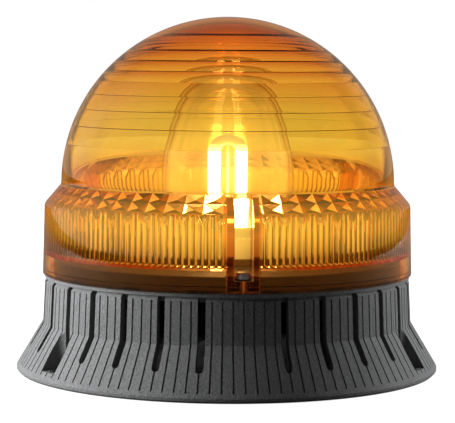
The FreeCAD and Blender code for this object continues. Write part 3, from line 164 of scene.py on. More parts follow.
class Shader(Nodes):
    """A material under construction."""

    def __init__(self, name: str) -> None:
        """Start an empty material.

        Args:
            name: Name of the material.
        """
        self.material = bpy.data.materials.new(name)
        self.material.use_nodes = True
        super().__init__(self.material.node_tree)
        self.output = self.add("OutputMaterial")

    def coordinates(self) -> Socket:
        """Positions on the object, in metres."""
        return self.add("TexCoord").outputs["Object"]

    def place(self) -> bpy.types.bpy_prop_collection:
        """Positions on the object, split into the sockets X, Y and Z."""
        return self.add("SeparateXYZ", {"Vector": self.coordinates()}).outputs

    def facing(self) -> Socket:
        """How far the surface is turned away from the eye: 0 is square on, 1 is edge on."""
        return self.add("LayerWeight", {"Blend": 0.5}).outputs["Facing"]

    def noise(self, scale: float, detail: float, stretch: Triple | None = None) -> Socket:
        """A noise value over the object.

        Args:
            scale: Features per metre.
            detail: Octaves of the noise.
            stretch: Scale of each axis before the noise is read.

        Returns:
            The noise's value socket.
        """
        place = self.coordinates()
        if stretch is not None:
            place = self.add("Mapping", {"Vector": place, "Scale": stretch}).outputs["Vector"]
        return self.add("TexNoise", {"Vector": place, "Scale": scale, "Detail": detail}).outputs["Fac"]

    def ramp(self, value: Socket, low: Colour, high: Colour, start: float = 0.3,
             end: float = 0.7) -> Socket:
        """Turn a value into a colour between two colours.

        Args:
            value: The value to read.
            low: Colour at and below start.
            high: Colour at and above end.
            start: Value where the change begins.
            end: Value where the change ends.

        Returns:
            The colour socket.
        """
        node = self.add("ValToRGB", {"Fac": value})
        for element, position, colour in zip(node.color_ramp.elements, (start, end), (low, high)):
            element.position = position
            element.color = (*colour, 1.0)
        return node.outputs["Color"]

    def bands(self, value: Socket, stops: Sequence[tuple[float, Colour]]) -> Socket:
        """Turn a value into a colour that changes from stop to stop.

        Args:
            value: The value to read.
            stops: Values in rising order, each with its colour.

        Returns:
            The colour socket.
        """
        low, high = stops[0][0], stops[-1][0]
        node = self.add("ValToRGB", {"Fac": self.fade(value, low, high)})
        elements = node.color_ramp.elements
        elements.remove(elements[1])
        for index, (place, colour) in enumerate(stops):
            element = elements.new((place - low) / (high - low)) if index else elements[0]
            element.color = (*colour, 1.0)
        return node.outputs["Color"]

    def bump(self, height: Socket, strength: float, depth: float) -> Socket:
        """Surface relief from a height.

        Args:
            height: The height to read.
            strength: Share of the relief that shows.
            depth: Depth of the relief in metres.

        Returns:
            The normal socket.
        """
        node = self.add("Bump", {"Height": height, "Strength": strength, "Distance": depth})
        return node.outputs["Normal"]

    def finish(self, surface: Socket) -> bpy.types.Material:
        """Wire the surface and hand the material over."""
        self.tree.links.new(surface, self.output.inputs["Surface"])
        return self.material


def shade(colour: Colour, factor: float) -> Colour:
    """A lighter or darker version of a colour."""
    return tuple(min(1.0, channel * factor) for channel in colour)


@dataclass(frozen=True)
class Moulding:
    """A moulded plastic or rubber with fine spark-eroded grain.

    Attributes:
        name: Name of the finish.
        colour: Base colour.
        roughness: Middle roughness.
        grain: Grains per metre.
        relief: Depth of the grain in metres.
        spread: How far the colour varies.
        specular: Specular level.
        speckle: Share of the grain in how the colour varies.
        grain_detail: Octaves of the grain.
        cloud: Clouds of colour per metre.
        cloud_detail: Octaves of the clouds.
        swing: How far the roughness varies either way.
        relief_share: Share of the relief that shows.
    """

    name: str
    colour: Colour
    roughness: float = 0.5
    grain: float = 2600.0
    relief: float = 0.00006
    spread: float = 0.1
    specular: float = 0.5
    speckle: float = 0.0
    grain_detail: float = 2.0
    cloud: float = 38.0
    cloud_detail: float = 4.0
    swing: float = 0.08
    relief_share: float = 0.6

    def material(self) -> bpy.types.Material:
        """Build the material."""
        shader = Shader(self.name)
        cloud = shader.noise(self.cloud, self.cloud_detail)
        grain = shader.noise(self.grain, self.grain_detail)
        mottle = shader.add("Mix", {"Factor": self.speckle, "A": cloud, "B": grain}).outputs["Result"]
        dark, light = (shade(self.colour, 1 + side * self.spread) for side in (-1, 1))
        smooth, rough = self.roughness - self.swing, self.roughness + self.swing
        surface = shader.add("BsdfPrincipled", {
            "Base Color": shader.ramp(mottle, dark, light),
            "Roughness": shader.fade(grain, 0.0, 1.0, smooth, rough),
            "Specular IOR Level": self.specular,
            "Normal": shader.bump(grain, self.relief_share, self.relief),
        })
        return shader.finish(surface.outputs["BSDF"])


@dataclass(frozen=True)
class Metal:
    """A metal with drawn or turned lines.

    Attributes:
        name: Name of the finish.
        colour: Colour of its reflection.
        roughness: Middle roughness.
        lines: Scale of the noise per axis, which draws it out into lines.
        metallic: How far it shines as bare metal.
        line_scale: Lines per metre before they are drawn out.
        stain_scale: Stains per metre.
        detail: Octaves of lines and stains.
        stain: Darkest and lightest share of the colour.
        swing: How far the roughness falls and rises.
        relief: Depth of the lines in metres.
        relief_share: Share of the relief that shows.
    """

    name: str
    colour: Colour
    roughness: float = 0.28
    lines: Triple = (1.0, 1.0, 6.0)
    metallic: float = 1.0
    line_scale: float = 900.0
    stain_scale: float = 120.0
    detail: float = 3.0
    stain: tuple[float, float] = (0.86, 1.05)
    swing: tuple[float, float] = (0.07, 0.1)
    relief: float = 0.00003
    relief_share: float = 0.3

    def material(self) -> bpy.types.Material:
        """Build the material."""
        shader = Shader(self.name)
        drawn = shader.noise(self.line_scale, self.detail, self.lines)
        stain = shader.noise(self.stain_scale, self.detail)
        dark, light = (shade(self.colour, share) for share in self.stain)
        fall, rise = self.swing
        surface = shader.add("BsdfPrincipled", {
            "Base Color": shader.ramp(stain, dark, light),
            "Metallic": self.metallic,
            "Roughness": shader.fade(drawn, 0.0, 1.0, self.roughness - fall, self.roughness + rise),
            "Normal": shader.bump(drawn, self.relief_share, self.relief),
        })
        return shader.finish(surface.outputs["BSDF"])


@dataclass(frozen=True)
class ClearMoulding:
    """A see-through moulding whose colour deepens with the way of the light through it, plus painted
    shade.

    Attributes:
        name: Name of the finish.
        tints_and_shade: Heights in metres, each with the tint of the skin there, painted shade at foot,
            gems and crown.
        upright: Painted shade of the upright walls of the screw channels, which are seen edge on.
        body: What a wall of the stated thickness lets through.
        thickness: That thickness in metres.
        upright_turns: Turns in radians from a channel's middle where the walls' painted shade starts and
            ends.
        upright_top: Height in metres where the upright walls end.
        half_spacing: Half the turn in radians from one channel to the next.
        ior: Index of refraction.
        roughness: Roughness of its skin.
        flow: Waves of the flow ripple per metre.
        flow_detail: Octaves of the ripple.
        ripple: Depth of the ripple in metres.
        ripple_share: Share of the ripple that shows.
        shine: Tint of its reflections.
        glow: Colour of the lamp light that the moulding scatters.
        glow_strength: Brightest scattered light.
        glow_heights: Heights in metres where that light starts, is full, is still full and ends.
        edge_colour: Colour of the light that leaves the wall where it is seen edge on.
        edge_turn: How far the wall is turned away where that colour starts and is full.
        edge_glow: Light that leaves the wall where it is seen edge on.
        edge_facing: How far the wall is turned away where that light starts and is full.
        skirt_glow: Light that leaves the dome's skirt where it is seen edge on.
        dome_glow: Light that leaves the dome above its skirt where it is seen edge on.
        rim_facing: How far the dome is turned away where its light starts and is full.
        rim_heights: Heights in metres of the skirt's foot and top, the dome's foot, and the crown's foot
            and top, where the dome's light ends.
    """

    name: str
    tints_and_shade: tuple[tuple[float, Colour], ...]
    upright: Colour
    body: Colour
    thickness: float = 0.0026
    upright_turns: tuple[float, float] = (0.046, 0.086)
    upright_top: float = 0.0745
    half_spacing: float = math.pi / 3
    ior: float = 1.58
    roughness: float = 0.03
    flow: float = 55.0
    flow_detail: float = 2.0
    ripple: float = 0.00002
    ripple_share: float = 0.15
    shine: Colour = (1.0, 0.7, 0.35)
    glow: Colour = (1.0, 0.58, 0.08)
    glow_strength: float = 0.17
    glow_heights: tuple[float, float, float, float] = (0.051, 0.06, 0.067, 0.077)
    edge_colour: Colour = (1.0, 0.4, 0.1)
    edge_turn: tuple[float, float] = (0.6, 0.9)
    edge_glow: float = 0.16
    edge_facing: tuple[float, float] = (0.72, 0.97)
    skirt_glow: float = 0.34
    dome_glow: float = 0.15
    rim_facing: tuple[float, float] = (0.58, 0.8)
    rim_heights: tuple[float, ...] = (0.0742, 0.0895, 0.0925, 0.116, 0.128)

    def rim_light(self, shader: Shader, height: Socket, facing: Socket) -> Socket:
        """Strength of the light at the dome's rim, strongest at its skirt and gone at its crown."""
        foot, skirt_top, dome_foot, crown_foot, crown_top = self.rim_heights
        rim = shader.fade(facing, *self.rim_facing)
        strength = shader.fade(height, skirt_top, dome_foot, self.skirt_glow, self.dome_glow)
        crown = shader.fade(height, crown_foot, crown_top, 1.0, 0.0)
        dome = shader.math(Operation.ABOVE, height, foot)
        light = shader.math(Operation.MULTIPLY, rim, strength)
        light = shader.math(Operation.MULTIPLY, light, crown)
        return shader.math(Operation.MULTIPLY, light, dome)

    def scattered(self, shader: Shader, height: Socket, facing: Socket) -> Socket:
        """Strength of the scattered lamp light over the height and at the edges."""
        start, full, still, end = self.glow_heights
        rise = shader.fade(height, start, full, 0.0, self.glow_strength)
        fall = shader.fade(height, still, end, self.glow_strength, 0.0)
        band = shader.math(Operation.SMALLER, rise, fall)
        edge = shader.fade(facing, *self.edge_facing, 0.0, self.edge_glow)
        wall = shader.math(Operation.LARGER, band, edge)
        return shader.math(Operation.LARGER, wall, self.rim_light(shader, height, facing))

    def skin(self, shader: Shader, place: bpy.types.bpy_prop_collection) -> Socket:
        """Tint of the skin over the height, with painted shade, deeper on the walls of the screw
        channels.
        """
        start, end = self.upright_turns
        turn = shader.math(Operation.TURN, place["X"], place["Y"])
        fold = shader.math(Operation.FOLD, turn, self.half_spacing)
        past = shader.math(Operation.ABOVE, fold, self.half_spacing - end)
        before = shader.math(Operation.BELOW, fold, self.half_spacing - start)
        below = shader.math(Operation.BELOW, place["Z"], self.upright_top)
        wall = shader.math(Operation.MULTIPLY, shader.math(Operation.MULTIPLY, past, before), below)
        # painted shade: the height bands darken the foot, the gems and the crown below the lens's own
        # amber
        plain = shader.bands(place["Z"], self.tints_and_shade)
        # painted shade on the upright channel walls, mixed in over the height bands
        mixed = shader.add("Mix", {0: wall, 6: plain, 7: (*self.upright, 1.0)}, data_type="RGBA")
        return mixed.outputs[2]

    def material(self) -> bpy.types.Material:
        """Build the material."""
        shader = Shader(self.name)
        flow = shader.noise(self.flow, self.flow_detail)
        place = shader.place()
        facing = shader.facing()
        surface = shader.add("BsdfPrincipled", {
            "Base Color": self.skin(shader, place),
            "Roughness": self.roughness,
            "IOR": self.ior,
            "Transmission Weight": 1.0,
            "Specular Tint": (*self.shine, 1.0),
            "Normal": shader.bump(flow, self.ripple_share, self.ripple),
            "Emission Color": shader.ramp(facing, self.glow, self.edge_colour, *self.edge_turn),
            "Emission Strength": self.scattered(shader, place["Z"], facing),
        })
        loss = [-math.log(share) / self.thickness for share in self.body]
        density = max(loss)
        dye = shader.add("VolumeAbsorption", {
            "Color": (*(1.0 - channel / density for channel in loss), 1.0),
            "Density": density,
        })
        shader.tree.links.new(dye.outputs["Volume"], shader.output.inputs["Volume"])
        return shader.finish(surface.outputs["BSDF"])


@dataclass(frozen=True)
class ThinGlass:
    """Thin clear glass that bends light too little to see, a faint lit haze low down, painted shade at
    its edges.

    Attributes:
        name: Name of the finish.
        tint: Tint of one skin.
        rim: Painted shade of one skin seen edge on, which darkens the glass's outline.
        glow: Colour of the haze.
        strength: Brightest haze.
        low: Height in metres where the haze is brightest.
        high: Height in metres where it ends.
        edge: Share of the shine that shows at its edges.
        ior: Index of refraction that sets the shine.
        roughness: Roughness of its skin.
        rim_facing: How far the glass is turned away where the rim's painted shade starts and is full.
        halo_facing: How far the glass is turned away where the haze stops falling.
        halo_rest: Share of the haze that is left there.
    """

    name: str
    tint: Colour
    rim: Colour
    glow: Colour
    strength: float
    low: float
    high: float
    edge: float = 0.25
    ior: float = 1.5
    roughness: float = 0.04
    rim_facing: tuple[float, float] = (0.6, 0.95)
    halo_facing: float = 0.12
    halo_rest: float = 0.35

    def material(self) -> bpy.types.Material:
        """Build the material."""
        shader = Shader(self.name)
        facing = shader.facing()
        # painted shade: the glass turns darker where it is seen edge on
        through = shader.add("BsdfTransparent", {
            "Color": shader.ramp(facing, self.tint, self.rim, *self.rim_facing),
        })
        shine = shader.add("BsdfGlossy", {"Color": WHITE, "Roughness": self.roughness})
        edge = shader.add("Fresnel", {"IOR": self.ior}).outputs["Fac"]
        share = shader.fade(edge, 0.0, 1.0, 0.0, self.edge)
        glass = shader.add("MixShader", {0: share, 1: through.outputs[0], 2: shine.outputs[0]})
        fall = shader.fade(shader.place()["Z"], self.low, self.high, self.strength, 0.0, Curve.SOFT)
        halo = shader.fade(facing, 0.0, self.halo_facing, 1.0, self.halo_rest, Curve.SOFTER)
        light = shader.math(Operation.MULTIPLY, fall, halo)
        haze = shader.add("Emission", {"Color": (*self.glow, 1.0), "Strength": light})
        both = shader.add("AddShader", {0: glass.outputs[0], 1: haze.outputs[0]})
        return shader.finish(both.outputs[0])


@dataclass(frozen=True)
class LitTube:
    """The lit gas of the flash tube, brightest near its foot.

    Attributes:
        name: Name of the finish.
        colour: Colour of the light.
        glass: Colour of the glass where the light has faded.
        strength: Brightest emission.
        rest: Share of that emission left at the bend.
        low: Height in metres where it is brightest.
        high: Height in metres where it has faded.
        roughness: Roughness of the glass.
    """

    name: str
    colour: Colour
    glass: Colour
    strength: float
    rest: float
    low: float
    high: float
    roughness: float = 0.1

    def material(self) -> bpy.types.Material:
        """Build the material."""
        shader = Shader(self.name)
        height = shader.place()["Z"]
        surface = shader.add("BsdfPrincipled", {
            "Base Color": (*self.glass, 1.0),
            "Roughness": self.roughness,
            "Emission Color": (*self.colour, 1.0),
            "Emission Strength": shader.fade(height, self.low, self.high, self.strength,
                                             self.strength * self.rest),
        })
        return shader.finish(surface.outputs["BSDF"])


GREY_HOUSING = Moulding("grey_housing", (0.075, 0.076, 0.077), 0.5, 1500.0, 0.00022, 0.45, 0.5, 0.85)
GREY_COVER = Moulding("grey_cover", (0.09, 0.092, 0.095), 0.55)
BLACK_MOULDING = Moulding("black_moulding", (0.006, 0.006, 0.006), 0.6, 2600.0, 0.000001, 0.1, 0.15)
GREY_DECK = Moulding("grey_deck", (0.09, 0.085, 0.08), 0.5, 2200.0, 0.00003)
BLACK_RUBBER = Moulding("black_rubber", (0.02, 0.02, 0.02), 0.75, 1500.0, 0.00004)
SOCKET_MOULDING = Moulding("socket_moulding", (0.4, 0.37, 0.33), 0.5, 2200.0, 0.00003, 0.05)
WHITE_MOULDING = Moulding("white_moulding", (0.82, 0.82, 0.8), 0.4, 2200.0, 0.00003, 0.03)
RED_MOULDING = Moulding("red_moulding", (0.5, 0.03, 0.025), 0.35, 2200.0, 0.00003)
BLUE_MOULDING = Moulding("blue_moulding", (0.05, 0.13, 0.45), 0.35, 2200.0, 0.00003)
GREEN_MOULDING = Moulding("green_moulding", (0.05, 0.32, 0.1), 0.35, 2200.0, 0.00003)
SOLDER_MASK = Moulding("solder_mask", (0.02, 0.16, 0.06), 0.3, 700.0, 0.00003, 0.25)
SHRINK_SLEEVE = Moulding("shrink_sleeve", (0.03, 0.03, 0.04), 0.25, 600.0, 0.00002)
CONE_FILM = Moulding("cone_film", (0.26, 0.15, 0.07), 0.5, 1200.0, 0.00005, 0.2)
FERRITE = Moulding("ferrite", (0.06, 0.06, 0.063), 0.6, 1400.0, 0.00006, 0.2)
COATED_STEEL = Moulding("coated_steel", (0.03, 0.03, 0.032), 0.35, 1000.0, 0.00003)
STEEL = Metal("plated_steel", (0.62, 0.61, 0.59), 0.26)
DULL_STEEL = Metal("dull_steel", (0.55, 0.47, 0.42), 0.35, (1.0, 1.0, 6.0), 0.5)
BRASS = Metal("turned_brass", (0.78, 0.58, 0.27), 0.25)
COPPER = Metal("copper_winding", (0.72, 0.34, 0.16), 0.3, (1.0, 1.0, 30.0))
# Skin colours of the amber lens: wall and dome are its own amber; foot, gems, crown and upright channel
# walls carry painted shade.
FOOT_PAINTED_SHADE = (0.9, 0.5, 0.25)
WALL_TINT = (0.99, 0.8, 0.37)
GEM_PAINTED_SHADE = (0.91, 0.5, 0.24)
DOME_TINT = (0.99, 0.86, 0.39)
CROWN_PAINTED_SHADE = (0.92, 0.46, 0.22)
UPRIGHT_PAINTED_SHADE = (0.7, 0.29, 0.13)
AMBER_BODY = (0.91, 0.76, 0.45)
AMBER_TINTS_AND_SHADE = (
    (0.045, FOOT_PAINTED_SHADE), (0.056, WALL_TINT), (0.065, WALL_TINT), (0.067, GEM_PAINTED_SHADE), (0.0735, GEM_PAINTED_SHADE),
    (0.0755, WALL_TINT), (0.092, DOME_TINT), (0.1, DOME_TINT), (0.13, CROWN_PAINTED_SHADE),
)
AMBER = ClearMoulding("amber_lens", AMBER_TINTS_AND_SHADE, UPRIGHT_PAINTED_SHADE, AMBER_BODY)
# the second colour is painted shade along the lamp glass's edges
LAMP_GLASS = ThinGlass("lamp_glass", (0.97, 0.96, 0.94), (0.7, 0.55, 0.4), (1.0, 0.86, 0.5),
                       strength=0.35, low=0.064, high=0.118)
LIT_GAS = LitTube("lit_gas", (1.0, 0.9, 0.66), (0.62, 0.52, 0.32),
                  strength=45.0, rest=0.014, low=0.062, high=0.0895)


def cover(piece: bpy.types.Object, material: bpy.types.Material) -> None:
    """Give a piece one material all over."""
    piece.data.materials.clear()
    piece.data.materials.append(material)


def hand_over(name: str, mesh: bmesh.types.BMesh) -> bpy.types.Object:
    """Turn a finished mesh into an object.

    Args:
        name: Name of the object.
        mesh: The mesh, which is used up.

    Returns:
        The object, linked to the scene.
    """
    data = bpy.data.meshes.new(name)
    mesh.to_mesh(data)
    mesh.free()
    made = bpy.data.objects.new(name, data)
    bpy.context.scene.collection.objects.link(made)
    return made


def turned(angle: float) -> Matrix:
    """The turn by an angle in degrees about the upright axis."""
    return Matrix.Rotation(math.radians(angle), 4, "Z")


class Turning:
    """A mesh turned about the upright axis, row by row, with rows of different counts."""

    def __init__(self, lead: float = 0.0) -> None:
        """Start an empty mesh.

        Args:
            lead: Angle in degrees by which the first point of each row leads the front.
        """
        self.mesh = bmesh.new()
        self.lead = math.radians(lead)

    def row(self, radii: Sequence[float], height: float, drops: Sequence[float] | None = None) -> Row:
        """Add one closed row of points.

        Args:
            radii: Radius of each point round the row, in millimetres.
            height: Height of the row in millimetres.
            drops: How far each point lies below that height; none if left out.

        Returns:
            The row's points.
        """
        count = len(radii)
        points = []
        for index, radius in enumerate(radii):
            turn = 2 * math.pi * index / count + self.lead
            drop = drops[index] if drops else 0.0
            place = Vector((radius * math.sin(turn), -radius * math.cos(turn), height - drop))
            points.append(self.mesh.verts.new(place * MM))
        return points

    def rounds(self, profile: Iterable[Corner], count: int) -> list[Row]:
        """Add a round row for each radius and height of a profile."""
        return [self.row([radius] * count, height) for radius, height in profile]

    def pole(self, height: float) -> Row:
        """Add one point on the axis, as a row of its own."""
        return [self.mesh.verts.new(Vector((0.0, 0.0, height)) * MM)]

    def skin(self, lower: Row, upper: Row) -> None:
        """Join two rows; the finer one has a whole multiple of the other's points.

        Args:
            lower: One row.
            upper: The next row.
        """
        fine, coarse = (lower, upper) if len(lower) >= len(upper) else (upper, lower)
        step = len(fine) // len(coarse)
        for index, point in enumerate(fine):
            after = fine[(index + 1) % len(fine)]
            near = coarse[index // step]
            if len(coarse) > 1 and index % step == step - 1:
                self.mesh.faces.new((point, after, coarse[(index // step + 1) % len(coarse)], near))
            else:
                self.mesh.faces.new((point, after, near))

    def chain(self, rows: Sequence[Row]) -> None:
        """Join neighbouring rows one after another."""
        for lower, upper in zip(rows, rows[1:]):
            self.skin(lower, upper)

    def piece(self, name: str) -> bpy.types.Object:
        """Close the mesh and hand it over as an object.

        Args:
            name: Name of the object.

        Returns:
            The object, linked to the scene.
        """
        bmesh.ops.recalc_face_normals(self.mesh, faces=self.mesh.faces)
        return hand_over(name, self.mesh)


def soften(piece: bpy.types.Object, angle: float) -> None:
    """Shade a piece smooth, with edges sharper than an angle kept crisp.

    Args:
        piece: The object.
        angle: The angle in degrees.
    """
    mesh = bmesh.new()
    mesh.from_mesh(piece.data)
    limit = math.radians(angle)
    for face in mesh.faces:
        face.smooth = True
    for edge in mesh.edges:
        edge.smooth = len(edge.link_faces) == 2 and edge.calc_face_angle(0.0) < limit
    mesh.to_mesh(piece.data)
    mesh.free()


def carve(piece: bpy.types.Object, tool: bpy.types.Object) -> None:
    """Cut a tool out of a piece for good and remove the tool.

    Args:
        piece: The object to cut.
        tool: The object that cuts it.
    """
    modifier = piece.modifiers.new("carve", "BOOLEAN")
    modifier.operation = "DIFFERENCE"
    modifier.solver = "EXACT"
    modifier.object = tool
    bpy.context.view_layer.update()
    graph = bpy.context.evaluated_depsgraph_get()
    data = bpy.data.meshes.new_from_object(piece.evaluated_get(graph))
    piece.modifiers.clear()
    old = piece.data
    piece.data = data
    bpy.data.meshes.remove(old)
    bpy.data.objects.remove(tool)


def blocks(name: str, angles: Iterable[float], inner: float, outer: float, width: float,
           bottom: float, top: float) -> bpy.types.Object:
    """Boxes that reach outwards at several angles from the front, as one object.

    Args:
        name: Name of the object.
        angles: Angles in degrees, from -Y towards +X.
        inner: Distance of the near face in millimetres.
        outer: Distance of the far face in millimetres.
        width: Width in millimetres.
        bottom: Lower height in millimetres.
        top: Upper height in millimetres.

    Returns:
        The object.
    """
    mesh = bmesh.new()
    for angle in angles:
        size = Matrix.Diagonal((width * MM, (outer - inner) * MM, (top - bottom) * MM, 1.0))
        centre = Matrix.Translation(Vector((0.0, -(inner + outer) / 2, (bottom + top) / 2)) * MM)
        bmesh.ops.create_cube(mesh, size=1.0, matrix=turned(angle) @ centre @ size)
    return hand_over(name, mesh)


@dataclass
class AmberLens:
    """The amber lens: smooth outside, inner ribs, gem facets and dome rings, three screw channels.

    All lengths are in millimetres and all angles in degrees. The outside repeats the solid that the
    lens stands for. The inside departs from it by about a millimetre, to break the light as the real
    lens does.

    Attributes:
        foot: Height of the lower edge.
        foot_radius: Radius of the outside at the foot.
        foot_inner: Radius of the mouth, up to foot_top.
        foot_top: Height of the ledge above the mouth.
        foot_edge: Points of the rounded lower edge, as offsets from its corner.
        mouth_edge: Points of the rounded ledge, as offsets from its corner.
        wall: Middle thickness of the wall.
        shoulder_radius: Radius of the outside below the shoulder.
        shoulder_height: Height of the shoulder's lower corner.
        shoulder_inset: How far the inside of the shoulder ends below the dome's base.
        shoulder_edge: Points of the shoulder's rounded lower corner, as offsets from it.
        dome_radius: Radius of the dome.
        dome_base: Height of the dome's centre.
        dome_edge: Points of the corner between shoulder and dome, as offsets from it.
        dome_steps: Rows of the outside of the dome.
        columns: Points round the outside and round the rings.
        rib_foot: Height of the ribs' lower ends.
        rib_gap: Plain wall below the ribs that runs into them.
        rib_middle: Height of a row half way up the ribs.
        rib_depth: Depth of the half-round ribs.
        rib_count: Number of ribs.
        rib_points: Points across a rib.
        rib_end_steps: Rows of a rib's round end.
        rib_end_gap: Plain wall between the ribs and the gems.
        gem_count: Gems in each of the two rows.
        gem_foot: Height of the lower edge of the gems.
        gem_depth: Height of a gem's point over its base.
        notch_turn: Half the angle of the notch in the ribs under each gem edge.
        notch_depth: How far that notch reaches down.
        notch_slope: How far the wall recedes at the top of the notch.
        notch_gap: Plain wall between the notch and the gems.
        ring_elevations: Elevations of the rings' lower edges, and of the last one's upper edge.
        ring_step: Depth of the rings, grown by ring_growth and by elevation over ring_bold.
        ring_growth: Share of that depth at the dome's base.
        ring_bold: Elevation where a full depth has been added.
        ring_ledge: Angle between a ring's upper edge and the next ring.
        ring_sag: Hollow of the rings below crown_from.
        ring_steps: Rows of one ring.
        crown_from: Elevation where the crown starts.
        crown_sag: Hollow of the rings in the crown.
        skirt_from: Elevation where the skirt below the rings starts.
        skirt_step: How far the skirt is thinned at its top.
        skirt_foot: How far the skirt is thickened at its foot.
        skirt_steps: Rows of the skirt.
        channel_width: Width of a screw channel.
        channel_wall: Wall round a screw channel.
        channel_floor: Height of the channel's floor.
        channels: Angles of the channels from the front.
        screw_circle: Radius on which the screws stand.
        screw_hole: Radius of a screw hole.
        hole_depth: Length of the tool that cuts a screw hole.
        hole_sink: How far the middle of that tool lies below the channel's floor.
        hole_sides: Sides of that tool.
        overshoot: How far a tool reaches past what it cuts.
        block_sink: How far the channel blocks reach below the foot.
        crisp_angle: Angle from which edges stay crisp.
    """

    foot: float = 38.8
    foot_radius: float = 74.5
    foot_inner: float = 70.6
    foot_top: float = 40.8
    foot_edge: tuple[Corner, ...] = ((-0.35, 0.0), (-0.08, 0.12), (0.0, 0.4), (-0.2, 7.0))
    mouth_edge: tuple[Corner, ...] = ((-0.3, 0.05), (0.0, 0.4))
    wall: float = 2.6
    shoulder_radius: float = 73.7
    shoulder_height: float = 67.0
    shoulder_inset: float = 1.0
    shoulder_edge: tuple[Corner, ...] = ((0.05, -1.0), (-0.05, -0.5), (-0.3, 0.1), (-0.75, 0.75))
    dome_radius: float = 67.1
    dome_base: float = 74.6
    dome_edge: tuple[Corner, ...] = ((0.5, -0.55), (0.12, -0.1))
    dome_steps: int = 96
    columns: int = 360
    rib_foot: float = 47.8
    rib_gap: float = 0.9
    rib_middle: float = 57.0
    rib_depth: float = 1.0
    rib_count: int = 180
    rib_points: int = 6
    rib_end_steps: int = 5
    rib_end_gap: float = 0.2
    gem_count: int = 60
    gem_foot: float = 67.2
    gem_depth: float = 1.0
    notch_turn: float = 1.7
    notch_depth: float = 3.4
    notch_slope: float = 0.8
    notch_gap: float = 0.1
    ring_elevations: tuple[float, ...] = (14.0, 20.7, 26.9, 32.8, 38.3, 43.3, 48.3, 53.9, 64.0)
    ring_step: float = 0.3
    ring_growth: float = 0.6
    ring_bold: float = 34.0
    ring_ledge: float = 0.25
    ring_sag: float = 0.04
    ring_steps: int = 8
    crown_from: float = 38.0
    crown_sag: float = 0.3
    skirt_from: float = 0.3
    skirt_step: float = 1.4
    skirt_foot: float = 0.7
    skirt_steps: int = 12
    channel_width: float = 7.0
    channel_wall: float = 2.38
    channel_floor: float = 43.3
    channels: tuple[float, ...] = (0.0, 120.0, 240.0)
    screw_circle: float = 70.5
    screw_hole: float = 1.55
    hole_depth: float = 12.0
    hole_sink: float = 2.0
    hole_sides: int = 32
    overshoot: float = 5.0
    block_sink: float = 8.0
    crisp_angle: float = 12.0

    def outside(self) -> bpy.types.Object:
        """Build the filled outer form, with its columns between those of the hollow."""
        turning = Turning(180.0 / self.columns)
        corners = (
            (self.foot_radius, self.foot, self.foot_edge),
            (self.shoulder_radius, self.shoulder_height, self.shoulder_edge),
            (self.dome_radius, self.dome_base, self.dome_edge),
        )
        profile = [(radius + out, height + up) for radius, height, edge in corners for out, up in edge]
        for step in range(1, self.dome_steps):
            lift = math.radians(90 * step / self.dome_steps)
            height = self.dome_base + self.dome_radius * math.sin(lift)
            profile.append((self.dome_radius * math.cos(lift), height))
        rows = [turning.pole(self.foot), *turning.rounds(profile, self.columns)]
        turning.chain([*rows, turning.pole(self.dome_base + self.dome_radius)])
        return turning.piece("lens_dome_amber")

    def notches(self) -> list[float]:
        """Share of a full notch at each column of the ribbed wall; a notch lies under each gem edge."""
        count = self.rib_count * self.rib_points
        span = count // self.gem_count
        shares = []
        for index in range(count):
            away = abs((index + span / 2) % span - span / 2) * 360 / count
            shares.append(max(0.0, 1 - away / self.notch_turn))
        return shares

    def rib_rows(self, turning: Turning) -> list[Row]:
        """Half-round upright ribs with round ends, notched where two gems meet above them.

        Args:
            turning: The mesh to add to.

        Returns:
            The rows of the ribbed wall, from the foot up.
        """
        wall = self.shoulder_radius - self.wall
        half = math.pi * wall / self.rib_count
        across = [2 * point / self.rib_points - 1 for point in range(self.rib_points)]
        swell = [math.sqrt(max(0.0, 1 - side ** 2)) for side in across]
        notches = self.notches()
        drops = [self.notch_depth * notch for notch in notches]
        ends = []
        for step in range(self.rib_end_steps + 1):
            lag = math.cos(math.pi / 2 * step / self.rib_end_steps)
            ends.append((half * (1 - lag), math.sqrt(max(0.0, 1 - lag * lag))))

        def radii(share: float) -> list[float]:
            """Radii round the ribs where they have a share of their depth."""
            return [wall - self.rib_depth * share * lift for lift in swell] * self.rib_count

        top = self.gem_foot - self.rib_end_gap
        rows = [turning.row(radii(share), self.rib_foot + rise) for rise, share in ends]
        rows.append(turning.row(radii(1.0), self.rib_middle))
        rows += [turning.row(radii(share), top - rise, drops) for rise, share in reversed(ends)]
        receding = [wall + self.notch_slope * notch for notch in notches]
        rows.append(turning.row(receding, self.gem_foot - self.notch_gap))
        return rows

    def gem_skin(self, turning: Turning, below: Row) -> Row:
        """Two rows of four-sided gems on the inside of the shoulder.

        Args:
            turning: The mesh to add to.
            below: The last row of the ribbed wall.

        Returns:
            The row at the top of the shoulder.
        """
        low = Vector((self.shoulder_radius - self.wall, self.gem_foot))
        high = Vector((self.dome_radius - self.wall, self.dome_base - self.shoulder_inset))
        inward = Vector((low.y - high.y, high.x - low.x)).normalized()
        rows = turning.rounds((low.lerp(high, share) for share in (0.0, 0.5, 1.0)), self.gem_count)
        turning.skin(below, rows[0])
        for share, lower, upper in ((0.25, rows[0], rows[1]), (0.75, rows[1], rows[2])):
            tip = low.lerp(high, share) + inward * self.gem_depth
            for index in range(self.gem_count):
                turn = 2 * math.pi * (index + 0.5) / self.gem_count
                place = Vector((tip.x * math.sin(turn), -tip.x * math.cos(turn), tip.y)) * MM
                peak = turning.mesh.verts.new(place)
                after = (index + 1) % self.gem_count
                corners = (lower[index], lower[after], upper[after], upper[index])
                for first, second in zip(corners, corners[1:] + corners[:1]):
                    turning.mesh.faces.new((first, second, peak))
        return rows[2]

